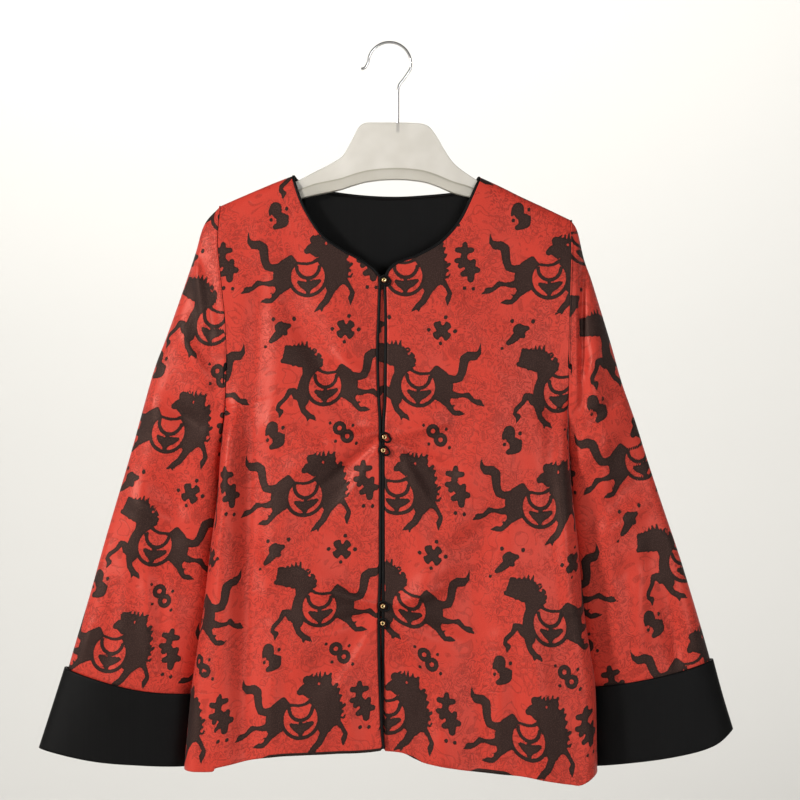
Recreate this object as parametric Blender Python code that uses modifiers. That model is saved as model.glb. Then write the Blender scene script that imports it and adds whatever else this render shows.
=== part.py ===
"""Cropped jacket on a hanger, built at its real size.

Metres, +Z up, the front of the jacket faces -Y. The tables below are in millimetres and MM turns
them into metres. The origin is the point where the hanger's hook bears, on the underside of the
top of its wire. Right and left are the wearer's: the right front lies at -X.
"""

import math

import bpy
import numpy as np

MM = 0.001
OBJECT = "cropped_jacket"

# Cloth walls and what is sewn to them, in mm.
CLOTH = 1.6
LINING = 1.2
CUFF_WALL = 2.4
SEAM_GAP = 0.5
ARMHOLE_GAP = 0.5
ARMHOLE_STAND = 1.6
CLEAR = 0.35
PIPE_R = 1.35
PIPE_OFF = PIPE_R + 0.3
BIND_END_X = 2.1
BIND_END_Y = 1.75

# Beads and the cord loops round them.
BEAD_R = 3.2
BEAD_HOLE_R = 0.7
CORD_R = 1.1
LOOP_R = 4.7
LOOP_TIP = 7.6

# Hanger and its hook.
WIRE_R = 1.5
WIRE_HOLE_R = WIRE_R + 0.3
HOOK_R = 23.6
SHANK_X = 9.7
SHANK_FOOT_Z = -99.6
HANGER_TOP_Z = -87.0

# Side of the body from the hem's corner up to the underarm, then the armhole up to the tip of the
# shoulder. Columns: x, z.
SIDE_RIGHT = [(-224, -794), (-217, -717), (-211, -672), (-203, -619), (-195, -552), (-188, -499),
              (-184, -446), (-179, -400)]
SIDE_LEFT = [(228, -797), (226, -709), (221, -672), (213, -619), (207, -552), (200, -488),
             (197, -446), (196, -400)]
ARMHOLE_RIGHT = [(-179, -400), (-177, -355), (-178, -310), (-181, -279), (-184, -250),
                 (-187, -216), (-184.5, -178.5)]
ARMHOLE_LEFT = [(196, -400), (196, -360), (196, -329), (197, -292), (198, -256), (199, -224),
                (199, -194)]

# Shoulder seams from the tip to the neck. Columns: x, z.
SHOULDER_RIGHT = [(-184.5, -178.5), (-163, -169), (-142, -160), (-124, -152.5), (-107, -146)]
SHOULDER_LEFT = [(199, -194), (172, -181), (144, -168), (122, -157), (101, -147.5)]

# Bound edge of each front from the hem up to the neck's V, then the neckline up to the neck point.
# Columns: x, z.
EDGE_RIGHT = [(-5.5, -769), (-8, -740), (-10.5, -670), (-10.6, -620), (-9.2, -560), (-9.2, -430),
              (-10.8, -392), (-12.3, -340), (-11, -300), (-9.8, -258)]
EDGE_LEFT = [(-7.5, -769), (-7.3, -740), (-6.6, -690), (-6.3, -640), (-6, -560), (-6, -430),
             (-4.2, -392), (-3.6, -340), (-3.6, -300), (-4.6, -260)]
NECK_RIGHT = [(-9.8, -258), (-17.5, -248.5), (-32.5, -238), (-51, -228), (-72, -213), (-87, -192),
              (-98, -170), (-105.4, -146.5)]
NECK_LEFT = [(-4.6, -260), (-0.5, -251), (9.5, -242), (33, -233), (58, -218), (77, -196),
             (90, -170), (99.4, -148)]
NECK_BACK = [(-107, -146), (-93, -155), (-72, -161.5), (-32, -167), (8, -169), (42, -167),
             (74, -163.5), (90, -156), (101, -147.5)]

# Hems from the side's corner. Columns: x, z.
HEM_RIGHT = [(-224, -794), (-192, -794), (-184, -789), (-134, -779), (-92, -775.5),
             (-31, -773.5), (-7.2, -771)]
HEM_LEFT = [(228, -797), (209, -808), (196, -807.5), (172, -803.5), (142, -798.5), (96, -794.5),
            (46, -786.5), (29, -780.5), (15, -774), (-5.8, -772)]
HEM_BACK = [(-224, -794), (-190, -794), (-150, -787), (-120, -784.5), (-85, -782), (-45, -776),
            (0, -773), (40, -784), (80, -797), (111, -800.5), (145, -798), (190, -803), (228, -797)]

# Where the right front's V, the underarm and the shoulder roll fall along a panel's height.
UNDERARM_ROW = 0.62
V_ROW = 0.80
# Share of the back's width from a side to the neck point.
NECK_SHARE = 0.29

# Depth of the body in front of and behind the hanger, below the shoulder. Columns: drop, front, back.
DEPTH = [(0, 0.5, 0.5), (0.5, 2.8, 2.8), (2, 5.2, 5.2), (5, 7.2, 7.4), (9, 8.4, 9.2),
         (20, 9.6, 10.6), (60, 14, 12), (120, 20, 14.5), (220, 26, 18), (400, 30, 21), (640, 36, 25)]
# Where the side seam lies in depth. Columns: z, y.
SIDE_Y = [(-810, -9), (-600, -9), (-400, -6), (-178, 0)]
SIDE_ROLL = 15.0
ARMHOLE_ROLL = 60.0
ARMHOLE_DEPTH = (15.0, 13.0)
# The left front's edge slips behind the right front's near the hem. Its depth, height and reach.
SLIP = (4.2, -645.0, 45.0, 34.0)

# Soft ridges (+) and troughs (-) in each panel, along a line.
# Columns: x and z of one end, x and z of the other, half width, rise.
FOLDS_RIGHT = [(-166, -270, -178, -776, 14, 6.5), (-142, -262, -152, -780, 13, -5.5),
               (-112, -282, -38, -415, 17, -5), (-66, -300, -22, -392, 26, 4.5),
               (-22, -428, -98, -466, 13, 4), (-22, -450, -88, -524, 13, -3.5),
               (-22, -617, -114, -566, 14, 4), (-22, -640, -98, -708, 19, -5),
               (-84, -560, -96, -778, 22, 5)]
FOLDS_LEFT = [(8, -432, 90, -386, 15, 4), (8, -449, 84, -502, 13, -3.5),
              (104, -420, 42, -618, 20, 4.5), (140, -470, 92, -600, 20, -3.5),
              (89, -568, 97, -780, 21, -7), (155, -590, 172, -800, 24, 8),
              (8, -619, 56, -577, 12, 3), (8, -641, 44, -744, 15, -4),
              (182, -285, 183, -440, 9, -3), (60, -280, 110, -330, 24, 3)]
FOLDS_BACK = [(-150, -300, -172, -785, 20, 7), (-112, -360, -120, -786, 18, -6),
              (-64, -240, -72, -420, 26, 3.5), (-52, -440, -60, -784, 20, 6.5),
              (-6, -400, -4, -776, 18, -5.5), (44, -350, 52, -788, 21, 6),
              (96, -420, 100, -799, 18, -6), (148, -310, 168, -800, 22, 7.5),
              (30, -230, 90, -300, 24, 3)]

# Sleeves: the outer edge from the tip of the shoulder to the cuff. Columns: x, z.
SLEEVE_OUT_RIGHT = [(-185, -178.5), (-203, -199), (-214, -234), (-230, -280), (-245, -321),
                    (-260, -360), (-275, -412), (-288, -458), (-313, -541), (-331, -605),
                    (-351, -672), (-356, -690)]
SLEEVE_OUT_LEFT = [(199.5, -194), (207, -206), (214.5, -237), (222.5, -259), (233, -292),
                   (246, -334), (257, -372), (272, -414), (288, -464), (304, -512), (323, -568),
                   (341, -627), (354, -672), (358, -688)]
# How far a sleeve's inner edge, and its cuff's, lie behind the body's side. Columns: z, tuck.
SLEEVE_TUCK = [(-400, -0.8), (-470, -0.6), (-560, 2.0), (-620, 2.8), (-700, 2.2), (-714, -2.3)]
CUFF_TUCK = [(-700, 2.4), (-800, 2.2)]
# Middle and half depth of a sleeve along its length. Columns: share, middle y, half depth.
SLEEVE_SECTION = [(0, 0, 14), (0.2, 5, 17), (0.45, 13, 18), (0.75, 17, 18.5), (1, 18, 18.5)]
SLEEVE_END_RIGHT = [(-356, -690), (-315, -703), (-272, -713), (-213, -722)]
SLEEVE_END_LEFT = [(358, -688), (318, -697), (272, -707), (226, -716)]
FOLDS_SLEEVE_RIGHT = [(-212, -236, -186, -330, 7, 6), (-200, -222, -181, -312, 6, -7),
                      (-232, -300, -200, -392, 12, 4), (-262, -404, -204, -462, 13, 4),
                      (-276, -470, -214, -520, 14, -4), (-318, -560, -338, -680, 15, 4),
                      (-296, -566, -226, -606, 15, -4), (-240, -560, -234, -700, 12, 4)]
FOLDS_SLEEVE_LEFT = [(208, -222, 213, -398, 6, -6), (205, -232, 204, -396, 5, 5),
                     (226, -300, 214, -470, 11, 4), (262, -410, 214, -462, 13, 4),
                     (282, -470, 220, -528, 14, -4), (338, -600, 350, -680, 13, 4),
                     (317, -640, 319, -712, 6, -5), (298, -560, 236, -604, 15, -4),
                     (252, -600, 250, -705, 12, 4)]
# The back of a sleeve has the folds of its front, lower down and softer.
BACK_FOLD_DROP = 46.0
BACK_FOLD_SHARE = 0.7

# Cuffs: the outer edge line, then the top and bottom lines from there to the body. Columns: x, z.
CUFF_OUT_RIGHT = [(-360, -688), (-374, -732), (-388.5, -777)]
CUFF_TOP_RIGHT = [(-360, -688), (-322, -699.5), (-272, -712), (-214, -717)]
CUFF_END_RIGHT = [(-388.5, -777), (-326, -789), (-272, -794), (-221, -797)]
CUFF_OUT_LEFT = [(359.5, -679), (370, -718), (381.5, -756)]
CUFF_TOP_LEFT = [(359.5, -679), (315, -692), (269, -702), (223, -709)]
CUFF_END_LEFT = [(381.5, -756), (357, -773), (314.5, -784), (226, -797)]
CUFF_MIDDLE_Y = 18.0
CUFF_HALF_DEPTH = 22.5

# Beads and their loops, down the closing. Columns: x, z, angle of the loop's tip in degrees.
BEADS = [(-5.2, -261.5, -20), (-4.7, -432, -35), (-6, -446.4, -30), (-6.4, -614.5, -28),
         (-6.6, -633.2, -35)]

# Hanger seen from the front. Columns: x, top z, bottom z, half thickness.
HANGER = [(-177, -178.4, -192, 2.4), (-165, -173.3, -191, 2.6), (-142, -164.8, -184.5, 2.8),
          (-120, -158.5, -177.5, 3), (-98, -149.8, -171, 3.2), (-84, -142.5, -167.5, 3.4),
          (-67, -134, -164, 3.6), (-53, -125.5, -161, 3.6), (-47, -117.8, -159, 3.6),
          (-41, -107, -157, 3.6), (-36, -97, -155.4, 3.6), (-33, -92, -154.6, 3.6),
          (-29.5, -89, -153.6, 3.6), (-25, -87.3, -152.6, 3.6), (-20, -87, -151.8, 3.6),
          (-8, -87, -150.4, 3.6), (6, -87, -149.8, 3.6), (20, -87.2, -150.2, 3.6),
          (34, -88, -151.8, 3.6), (40, -89.5, -153, 3.6), (45, -92.5, -154.4, 3.6),
          (49, -97.5, -155.8, 3.6), (54, -105, -157.6, 3.6), (60, -115.5, -160.2, 3.6),
          (66, -125, -162.8, 3.6), (72, -132.5, -165, 3.6), (81, -140, -167.6, 3.4),
          (98, -151, -172, 3.2), (122, -162.5, -184, 3), (146, -172.6, -193, 2.8),
          (168, -182.6, -202, 2.6), (189, -193.4, -207, 2.4)]
RIM_HEIGHT = 11.5
RIM_HALF = 5.4
HANGER_BEVEL = 1.1

# Hook wire: the free end before the arc, and the bend after it. Columns: x, z.
HOOK_TIP = [(-30.5, -28), (-26.5, -26.6), (-24.2, -23)]
HOOK_BEND = [(16.4, -38.8), (11.6, -45), (9.9, -51), (9.7, -58)]

# Lowest share of the back's height that the lining reaches.
LINING_FOOT = 0.70
# Strip behind the closing: its x range, top and foot, and how far its face lies behind the fronts'.
UNDERLAP = (-25.0, 11.0, -263.0, -764.0)
UNDERLAP_BACK = 2.7

# Points across and along each kind of piece.
SIZES = {
    "front columns": 13, "shoulder columns": 4, "seam rows": 11, "armhole rows": 4, "neck rows": 5,
    "sleeve ring": 24, "sleeve rows": 15, "cuff rows": 3,
}
# Columns round the roll of a side, shares of the neck with a column, and rows over the shoulder.
ROLL_ANGLES = (0, 9, 26, 46, 68, 90)
NECK_COLUMNS = (0.025, 0.07, 0.15, 0.27, 0.39)
ROLL_ROW = 0.968
SHOULDER_ROWS = (0.9876, 0.9946, 0.998, 0.9994, 1.0)
# Usual widths of a front and the back, from which the columns of a roll are spaced.
FRONT_WIDTH = 195.0
BACK_WIDTH = 400.0


def spline(points, shares):
    """Points at shares of the length of a smooth curve through the given points."""
    points = np.asarray(points, float)
    first = 2 * points[0] - points[1]
    last = 2 * points[-1] - points[-2]
    knots = np.vstack([first, points, last])
    fine = []
    for k in range(len(points) - 1):
        p0, p1, p2, p3 = knots[k:k + 4]
        t = np.linspace(0, 1, 24, endpoint=False)[:, None]
        fine.append(0.5 * (2 * p1 + (p2 - p0) * t + (2 * p0 - 5 * p1 + 4 * p2 - p3) * t ** 2
                           + (3 * p1 - p0 - 3 * p2 + p3) * t ** 3))
    fine = np.vstack(fine + [points[-1:]])
    along = np.concatenate([[0], np.cumsum(np.linalg.norm(np.diff(fine, axis=0), axis=1))])
    wanted = np.clip(np.asarray(shares, float), 0, 1) * along[-1]
    return np.stack([np.interp(wanted, along, fine[:, k]) for k in range(fine.shape[1])], axis=-1)


def column(table, value, index):
    """Linear value of one column of a table at places given in its first column."""
    rows = np.array(sorted(table), float)
    return np.interp(value, rows[:, 0], rows[:, index])


def smooth(value):
    value = np.clip(value, 0, 1)
    return value * value * (3 - 2 * value)


def folds(table, x, z):
    """Sum of the soft ridges and troughs of a table at points x, z."""
    total = np.zeros(np.shape(x))
    for x0, z0, x1, z1, half, rise in table:
        run = np.array([x1 - x0, z1 - z0], float)
        length = np.linalg.norm(run)
        share = ((x - x0) * run[0] + (z - z0) * run[1]) / length ** 2
        across = np.abs((x - x0) * run[1] - (z - z0) * run[0]) / length
        beyond = np.maximum(0, np.maximum(-share, share - 1)) * length
        ends = 0.55 + 0.45 * np.sin(math.pi * np.clip(share, 0, 1))
        total += rise * ends * np.exp(-(across ** 2 + beyond ** 2) / half ** 2)
    return total


def coons(left, right, bottom, top, u, v):
    """Sheet of (x, z) points inside four boundary lines, one row for each v."""
    u, v = u[None, :, None], v[:, None, None]
    ruled = (1 - u) * left[:, None] + u * right[:, None] + (1 - v) * bottom[None] + v * top[None]
    corners = ((1 - u) * (1 - v) * left[0] + u * (1 - v) * right[0]
               + (1 - u) * v * left[-1] + u * v * right[-1])
    return ruled - corners


def inward(line, side, distance):
    """A line of (x, z) points moved sideways, to its left for side 1 and its right for side -1."""
    run = np.gradient(line, axis=0)
    run /= np.linalg.norm(run, axis=1)[:, None]
    return line + side * distance * np.stack([-run[:, 1], run[:, 0]], axis=-1)


def heights():
    """Shares of a panel's height, with rows at the underarm, the V and the roll of the shoulder."""
    seam = np.linspace(0, UNDERARM_ROW, SIZES["seam rows"], endpoint=False)
    arm = np.linspace(UNDERARM_ROW, V_ROW, SIZES["armhole rows"], endpoint=False)
    neck = np.linspace(V_ROW, ROLL_ROW, SIZES["neck rows"])
    return np.concatenate([seam, arm, neck, SHOULDER_ROWS])


def side_line(side, v):
    """Side seam and armhole of one side of the body, as (x, z) points."""
    seam, arm = (SIDE_RIGHT, ARMHOLE_RIGHT) if side < 0 else (SIDE_LEFT, ARMHOLE_LEFT)
    low = spline(seam, v / UNDERARM_ROW)
    high = spline(arm, (v - UNDERARM_ROW) / (1 - UNDERARM_ROW))
    return np.where((v <= UNDERARM_ROW)[:, None], low, high)


def side_depth(side, z, face):
    """Depth of a panel's side edge: the seam below the underarm, and the armhole's loop above it."""
    arm = np.array(ARMHOLE_RIGHT if side < 0 else ARMHOLE_LEFT, float)
    up = np.clip((z - arm[0, 1]) / (arm[-1, 1] - arm[0, 1]), 0, 1)
    loop = ARMHOLE_DEPTH[0 if face < 0 else 1] * (4 * up * (1 - up)) ** 0.42
    least = np.where(up > 0.5, SEAM_GAP, SEAM_GAP / 2)
    return column(SIDE_Y, z, 1) + face * np.maximum(loop, least)


def panel_depth(x, z, drop, edge, from_side, above_arm, face):
    """Depth of a body panel: full depth by its drop, rolled over to the side edge."""
    full = face * column(DEPTH, drop, 1 if face < 0 else 2)
    round_edge = np.sqrt(1 - (1 - np.clip(from_side / SIDE_ROLL, 0, 1)) ** 2)
    roll = np.where(above_arm, smooth(from_side / ARMHOLE_ROLL), round_edge)
    return edge + (full - edge) * roll, roll


def edge_line(side, v):
    """Middle of the binding of one front: up the front edge and round the neck."""
    edge, neck = (EDGE_RIGHT, NECK_RIGHT) if side < 0 else (EDGE_LEFT, NECK_LEFT)
    low = spline(edge, v / V_ROW)
    high = spline(neck, (v - V_ROW) / (1 - V_ROW))
    return np.where((v <= V_ROW)[:, None], low, high)


def slip(side, x, z):
    """How far the left front's edge lies back near the hem, under the right front's."""
    if side < 0:
        return np.zeros(np.shape(x))
    depth, start, height, reach = SLIP
    return depth * smooth((start - z) / height) * np.exp(-((x + 6) / reach) ** 2)


def closing_depth(side, x, z):
    """Outer face of a front near the closing, where no side edge bends it."""
    table = FOLDS_RIGHT if side < 0 else FOLDS_LEFT
    drop = np.array(NECK_BACK[0 if side < 0 else -1], float)[1] - z
    return -column(DEPTH, drop, 1) - folds(table, x, z) + slip(side, x, z)


def front_columns():
    roll = SIDE_ROLL * (1 - np.cos(np.radians(ROLL_ANGLES))) / FRONT_WIDTH
    rest = np.linspace(roll[-1], 1, SIZES["front columns"])[1:]
    return np.concatenate([roll, rest])


def front_sheet(side):
    """Outer face of one front, as rows of points from its side to its bound edge."""
    u, v = front_columns(), heights()
    hem = HEM_RIGHT if side < 0 else HEM_LEFT
    shoulder = SHOULDER_RIGHT if side < 0 else SHOULDER_LEFT
    left = side_line(side, v)
    right = inward(edge_line(side, v), -side, PIPE_OFF)
    bottom, top = spline(hem, u), spline(shoulder, u)
    bottom[-1], top[-1] = right[0], right[-1]
    sheet = coons(left, right, bottom, top, u, v)
    x, z = sheet[..., 0], sheet[..., 1]
    drop = np.maximum(0, top[None, :, 1] - z)
    edge = side_depth(side, left[:, 1], -1)[:, None]
    from_side = np.abs(x - left[:, None, 0])
    above = (v > UNDERARM_ROW)[:, None]
    y, roll = panel_depth(x, z, drop, edge, from_side, above, -1)
    table = FOLDS_RIGHT if side < 0 else FOLDS_LEFT
    y = y - folds(table, x, z) * roll * smooth(drop / 40) + slip(side, x, z)
    return np.stack([x, y, z], axis=-1)


def back_columns():
    roll = SIDE_ROLL * (1 - np.cos(np.radians(ROLL_ANGLES))) / BACK_WIDTH
    to_neck = np.linspace(roll[-1], NECK_SHARE, SIZES["shoulder columns"] + 1)[1:]
    neck = NECK_SHARE + (1 - 2 * NECK_SHARE) * np.array(NECK_COLUMNS)
    half = np.concatenate([roll, to_neck, neck])
    return np.concatenate([half, [0.5], 1 - half[::-1]])


def back_top(u):
    """Top line of the back: shoulder, neck and shoulder, and the level that each drop starts from."""
    a, b = NECK_SHARE, 1 - NECK_SHARE
    first = spline(SHOULDER_RIGHT, u / a)
    second = spline(NECK_BACK, (u - a) / (b - a))
    third = spline(SHOULDER_LEFT, (1 - u) / a)
    line = np.where((u < a)[:, None], first, np.where((u > b)[:, None], third, second))
    level = np.interp(u, [a, b], [NECK_BACK[0][1], NECK_BACK[-1][1]])
    level = np.where((u < a) | (u > b), line[:, 1], level)
    moved = inward(line, -1, PIPE_OFF)
    inside = (u > a + 0.001) & (u < b - 0.001)
    return np.where(inside[:, None], moved, line), level


def back_sheet():
    """Outer face of the back, as rows of points from the right side to the left."""
    u, v = back_columns(), heights()
    left, right = side_line(-1, v), side_line(1, v)
    bottom = spline(HEM_BACK, u)
    top, level = back_top(u)
    sheet = coons(left, right, bottom, top, u, v)
    x, z = sheet[..., 0], sheet[..., 1]
    drop = np.maximum(0, level[None, :] - z)
    nearer_right = (u < 0.5)[None, :]
    edge = np.where(nearer_right, side_depth(-1, left[:, 1], 1)[:, None],
                    side_depth(1, right[:, 1], 1)[:, None])
    from_side = np.minimum(np.abs(x - left[:, None, 0]), np.abs(x - right[:, None, 0]))
    above = (v > UNDERARM_ROW)[:, None]
    y, roll = panel_depth(x, z, drop, edge, from_side, above, 1)
    y = y + folds(FOLDS_BACK, x, z) * roll * smooth(drop / 40)
    return np.stack([x, y, z], axis=-1)


def tucked(side, z, tuck):
    """A sleeve's inner edge: the body's side, plus how far the sleeve lies behind it."""
    seam = np.array(SIDE_RIGHT if side < 0 else SIDE_LEFT, float)
    return np.interp(z, seam[:, 1], seam[:, 0]) - side * column(tuck, z, 1)


def sleeve_sheet(side):
    """Outer face of one sleeve: rings of points, from the armhole to the end inside the cuff."""
    out = SLEEVE_OUT_RIGHT if side < 0 else SLEEVE_OUT_LEFT
    end = SLEEVE_END_RIGHT if side < 0 else SLEEVE_END_LEFT
    table = FOLDS_SLEEVE_RIGHT if side < 0 else FOLDS_SLEEVE_LEFT
    turn = np.linspace(0, 2 * math.pi, SIZES["sleeve ring"], endpoint=False)
    face = np.where(turn < math.pi, -1.0, 1.0)
    share = (1 - np.cos(turn)) / 2
    v = np.linspace(0, 1, SIZES["sleeve rows"])
    outer = spline(out, v)
    underarm = (SIDE_RIGHT if side < 0 else SIDE_LEFT)[-1][1]
    z = underarm + (end[-1][1] - underarm) * v
    inner = np.stack([tucked(side, z, SLEEVE_TUCK), z], axis=-1)
    arm = side_line(side, 1 - share * (1 - UNDERARM_ROW))
    arm[:, 0] += side * ARMHOLE_GAP
    close = spline([*end[:-1], inner[-1]], share)
    outer[0], inner[0] = arm[np.argmin(share)], arm[np.argmax(share)]
    sheet = coons(outer[::-1], inner[::-1], close, arm, share, v)[::-1]
    x, z = sheet[..., 0], sheet[..., 1]
    bulge = (4 * share * (1 - share))[None, :] ** 0.42
    middle = column(SLEEVE_SECTION, v, 1)[:, None]
    half = column(SLEEVE_SECTION, v, 2)[:, None]
    start = np.where(face < 0, ARMHOLE_DEPTH[0], ARMHOLE_DEPTH[1])[None, :]
    near = smooth(1 - v / 0.2)[:, None]
    half = half * (1 - near) + start * near
    middle = middle + near * column(SIDE_Y, z, 1)
    low = np.where(face < 0, folds(table, x, z),
                   BACK_FOLD_SHARE * folds(table, x, z + BACK_FOLD_DROP))
    calm = smooth(v / 0.13) * smooth((1.04 - v) / 0.12)
    y = middle + face[None, :] * bulge * (half + low * calm[:, None])
    rings = np.stack([x, y, z], axis=-1)
    stand = rings[:1] + [side * ARMHOLE_STAND, 0, 0]
    return np.concatenate([rings[:1], stand, rings[1:]])


def cuff_sheet(side):
    """Outer face of one turned back cuff: rings of points down its height."""
    outer_line, top_line, end_line = ((CUFF_OUT_RIGHT, CUFF_TOP_RIGHT, CUFF_END_RIGHT) if side < 0
                                      else (CUFF_OUT_LEFT, CUFF_TOP_LEFT, CUFF_END_LEFT))
    turn = np.linspace(0, 2 * math.pi, SIZES["sleeve ring"], endpoint=False)
    share = (1 - np.cos(turn)) / 2
    v = np.linspace(0, 1, SIZES["cuff rows"] + 1)
    z = top_line[-1][1] + (end_line[-1][1] - top_line[-1][1]) * v
    out, inner = spline(outer_line, v), np.stack([tucked(side, z, CUFF_TUCK), z], axis=-1)
    top = spline([*top_line[:-1], inner[0]], share)
    end = spline([*end_line[:-1], inner[-1]], share)
    sheet = coons(out[::-1], inner[::-1], end, top, share, v)[::-1]
    bulge = (4 * share * (1 - share)) ** 0.42
    y = CUFF_MIDDLE_Y + np.where(turn < math.pi, -1, 1) * CUFF_HALF_DEPTH * bulge
    return np.stack([sheet[..., 0], np.broadcast_to(y, sheet.shape[:2]), sheet[..., 1]], axis=-1)


def lining_sheet():
    """Lining inside the back, from the neck down, made from the back's own points."""
    u, v = back_columns(), heights()
    share = (u - NECK_SHARE) / (1 - 2 * NECK_SHARE)
    across = (share > 0.06) & (share < 0.94)
    part = back_sheet()[(v >= LINING_FOOT) & (v < 0.999)][:, across]
    part[..., 1] -= CLOTH + 2 * CLEAR
    return part


def underlap_sheet():
    """Strip behind the closing, made from the two fronts' depth there, moved back."""
    x0, x1, top, foot = UNDERLAP
    level = front_sheet(1)[:, -1, 2]
    level = level[(level > foot) & (level < top)]
    z = np.concatenate([[foot], level, [top]])[:, None] + np.zeros((1, 5))
    x = np.linspace(x0, x1, 5)[None, :] + np.zeros_like(z)
    y = np.maximum(closing_depth(-1, x, z), closing_depth(1, x, z)) + UNDERLAP_BACK
    return np.stack([x, y, z], axis=-1)


def material(name, colour, roughness, metallic=0.0, transmission=0.0):
    found = bpy.data.materials.new(name)
    found.use_nodes = True
    shader = found.node_tree.nodes["Principled BSDF"]
    shader.inputs["Base Color"].default_value = (*colour, 1)
    shader.inputs["Roughness"].default_value = roughness
    shader.inputs["Metallic"].default_value = metallic
    shader.inputs["Transmission Weight"].default_value = transmission
    return found


LOOKS = {
    "red": ((0.62, 0.06, 0.035), 0.5, 0.0, 0.0),
    "black": ((0.008, 0.008, 0.01), 0.6, 0.0, 0.0),
    "gold": ((0.85, 0.62, 0.2), 0.25, 1.0, 0.0),
    "plastic": ((0.8, 0.79, 0.76), 0.4, 0.0, 0.3),
    "wire": ((0.75, 0.75, 0.76), 0.15, 1.0, 0.0),
}


def add_object(name, data, look):
    found = bpy.data.objects.new(name, data)
    found.data.materials.append(material(name, *LOOKS[look]))
    parts.objects.link(found)
    return found


def grid_faces(rows, columns, ring):
    """Quads over a grid of points. A ring joins its last column to its first."""
    last = columns if ring else columns - 1
    return [(r * columns + c, r * columns + (c + 1) % columns,
             (r + 1) * columns + (c + 1) % columns, (r + 1) * columns + c)
            for r in range(rows - 1) for c in range(last)]


def cloth(name, sheet, wall, look, flip=False, ring=False):
    """A cloth wall: the sheet is its outer face, and its thickness goes inwards."""
    rows, columns = sheet.shape[:2]
    faces = grid_faces(rows, columns, ring)
    if flip:
        faces = [face[::-1] for face in faces]
    mesh = bpy.data.meshes.new(name)
    mesh.from_pydata((sheet.reshape(-1, 3) * MM).tolist(), [], faces)
    mesh.shade_smooth()
    found = add_object(name, mesh, look)
    wall_modifier = found.modifiers.new("wall", "SOLIDIFY")
    wall_modifier.thickness = wall * MM
    wall_modifier.offset = -1
    return found


def tube(name, points, radius, look, closed=False):
    """A round cord or wire along points, with flat ends."""
    curve = bpy.data.curves.new(name, "CURVE")
    curve.dimensions = "3D"
    curve.bevel_depth = radius * MM
    curve.bevel_resolution = 2
    curve.use_fill_caps = True
    line = curve.splines.new("POLY")
    line.points.add(len(points) - 1)
    for point, place in zip(line.points, points):
        point.co = (*(np.asarray(place, float) * MM), 1)
    line.use_cyclic_u = closed
    return add_object(name, curve, look)


def build_body():
    cloth("front_right", front_sheet(-1), CLOTH, "red")
    cloth("front_left", front_sheet(1), CLOTH, "red", flip=True)
    cloth("back", back_sheet(), CLOTH, "red", flip=True)
    cloth("lining_back", lining_sheet(), LINING, "black", flip=True)
    cloth("underlap", underlap_sheet(), CLOTH, "red")


def build_sleeves():
    cloth("sleeve_right", sleeve_sheet(-1), CLOTH, "red", flip=True, ring=True)
    cloth("sleeve_left", sleeve_sheet(1), CLOTH, "red", ring=True)
    cloth("cuff_right", cuff_sheet(-1), CUFF_WALL, "black", flip=True, ring=True)
    cloth("cuff_left", cuff_sheet(1), CUFF_WALL, "black", ring=True)


def beside(edge, within):
    """Middle of a binding along a panel's edge: outside the edge and half a wall deep.

    The second line of points lies further inside the panel and gives its plane.
    """
    run = np.gradient(edge, axis=0)
    run /= np.linalg.norm(run, axis=1)[:, None]
    out = edge - within
    out -= (out * run).sum(axis=1)[:, None] * run
    out /= np.linalg.norm(out, axis=1)[:, None]
    deep = np.cross(run, out)
    deep *= -np.sign(deep[:, 1] * edge[:, 1])[:, None]
    return edge + out * PIPE_OFF + deep * CLOTH / 2


def build_bindings():
    for name, side in (("binding_right", -1), ("binding_left", 1)):
        sheet = front_sheet(side)
        line = beside(sheet[:, -1], sheet[:, -2])[:-3]
        corner = np.array(SHOULDER_RIGHT[-1] if side < 0 else SHOULDER_LEFT[-1], float)
        end = (corner[0] - side * BIND_END_X, -BIND_END_Y, corner[1])
        tube(name, [*line, end], PIPE_R, "black")
    sheet, u = back_sheet(), back_columns()
    inside = (u > NECK_SHARE + 0.001) & (u < 1 - NECK_SHARE - 0.001)
    line = beside(sheet[-1], sheet[-1 - len(SHOULDER_ROWS)])[inside]
    ends = [(corner[0] - side * BIND_END_X, BIND_END_Y, corner[1])
            for side, corner in ((-1, NECK_BACK[0]), (1, NECK_BACK[-1]))]
    tube("binding_back", [ends[0], *line, ends[1]], PIPE_R, "black")


def bead_depth(edges, z):
    """Middle of the bindings' depth at a height, taken from whichever lies further forward."""
    return min(np.interp(z, edge[:, 2], edge[:, 1]) for edge in edges) + CLOTH / 2


def build_bead(name, x, y, z):
    """A turned bead whose hole faces the front."""
    turn = np.linspace(0, math.pi, 7)
    start = math.asin(BEAD_HOLE_R / BEAD_R)
    outer = start + (math.pi - 2 * start) * turn / math.pi
    profile = [(BEAD_R * math.sin(a), BEAD_R * math.cos(a)) for a in outer]
    mesh = bpy.data.meshes.new(name)
    points = [(r * MM, 0, h * MM) for r, h in profile]
    mesh.from_pydata(points, [(k, (k + 1) % len(points)) for k in range(len(points))], [])
    found = add_object(name, mesh, "gold")
    turned = found.modifiers.new("turn", "SCREW")
    turned.axis = "Z"
    turned.steps = turned.render_steps = 14
    turned.use_merge_vertices = True
    turned.merge_threshold = 0.00001
    found.rotation_euler = (math.radians(90), 0, 0)
    found.location = (x * MM, y * MM, z * MM)


def build_loop(name, x, y, z, angle):
    """A cord loop round a bead, drawn out to a tip on one side."""
    tip = math.radians(angle)
    turn = np.linspace(0, 2 * math.pi, 14, endpoint=False)
    reach = LOOP_R + (LOOP_TIP - LOOP_R) * np.maximum(0, np.cos(turn - tip)) ** 5
    points = np.stack([x + reach * np.cos(turn), np.full(14, y), z + reach * np.sin(turn)], axis=-1)
    tube(name, points, CORD_R, "black", closed=True)


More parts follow.
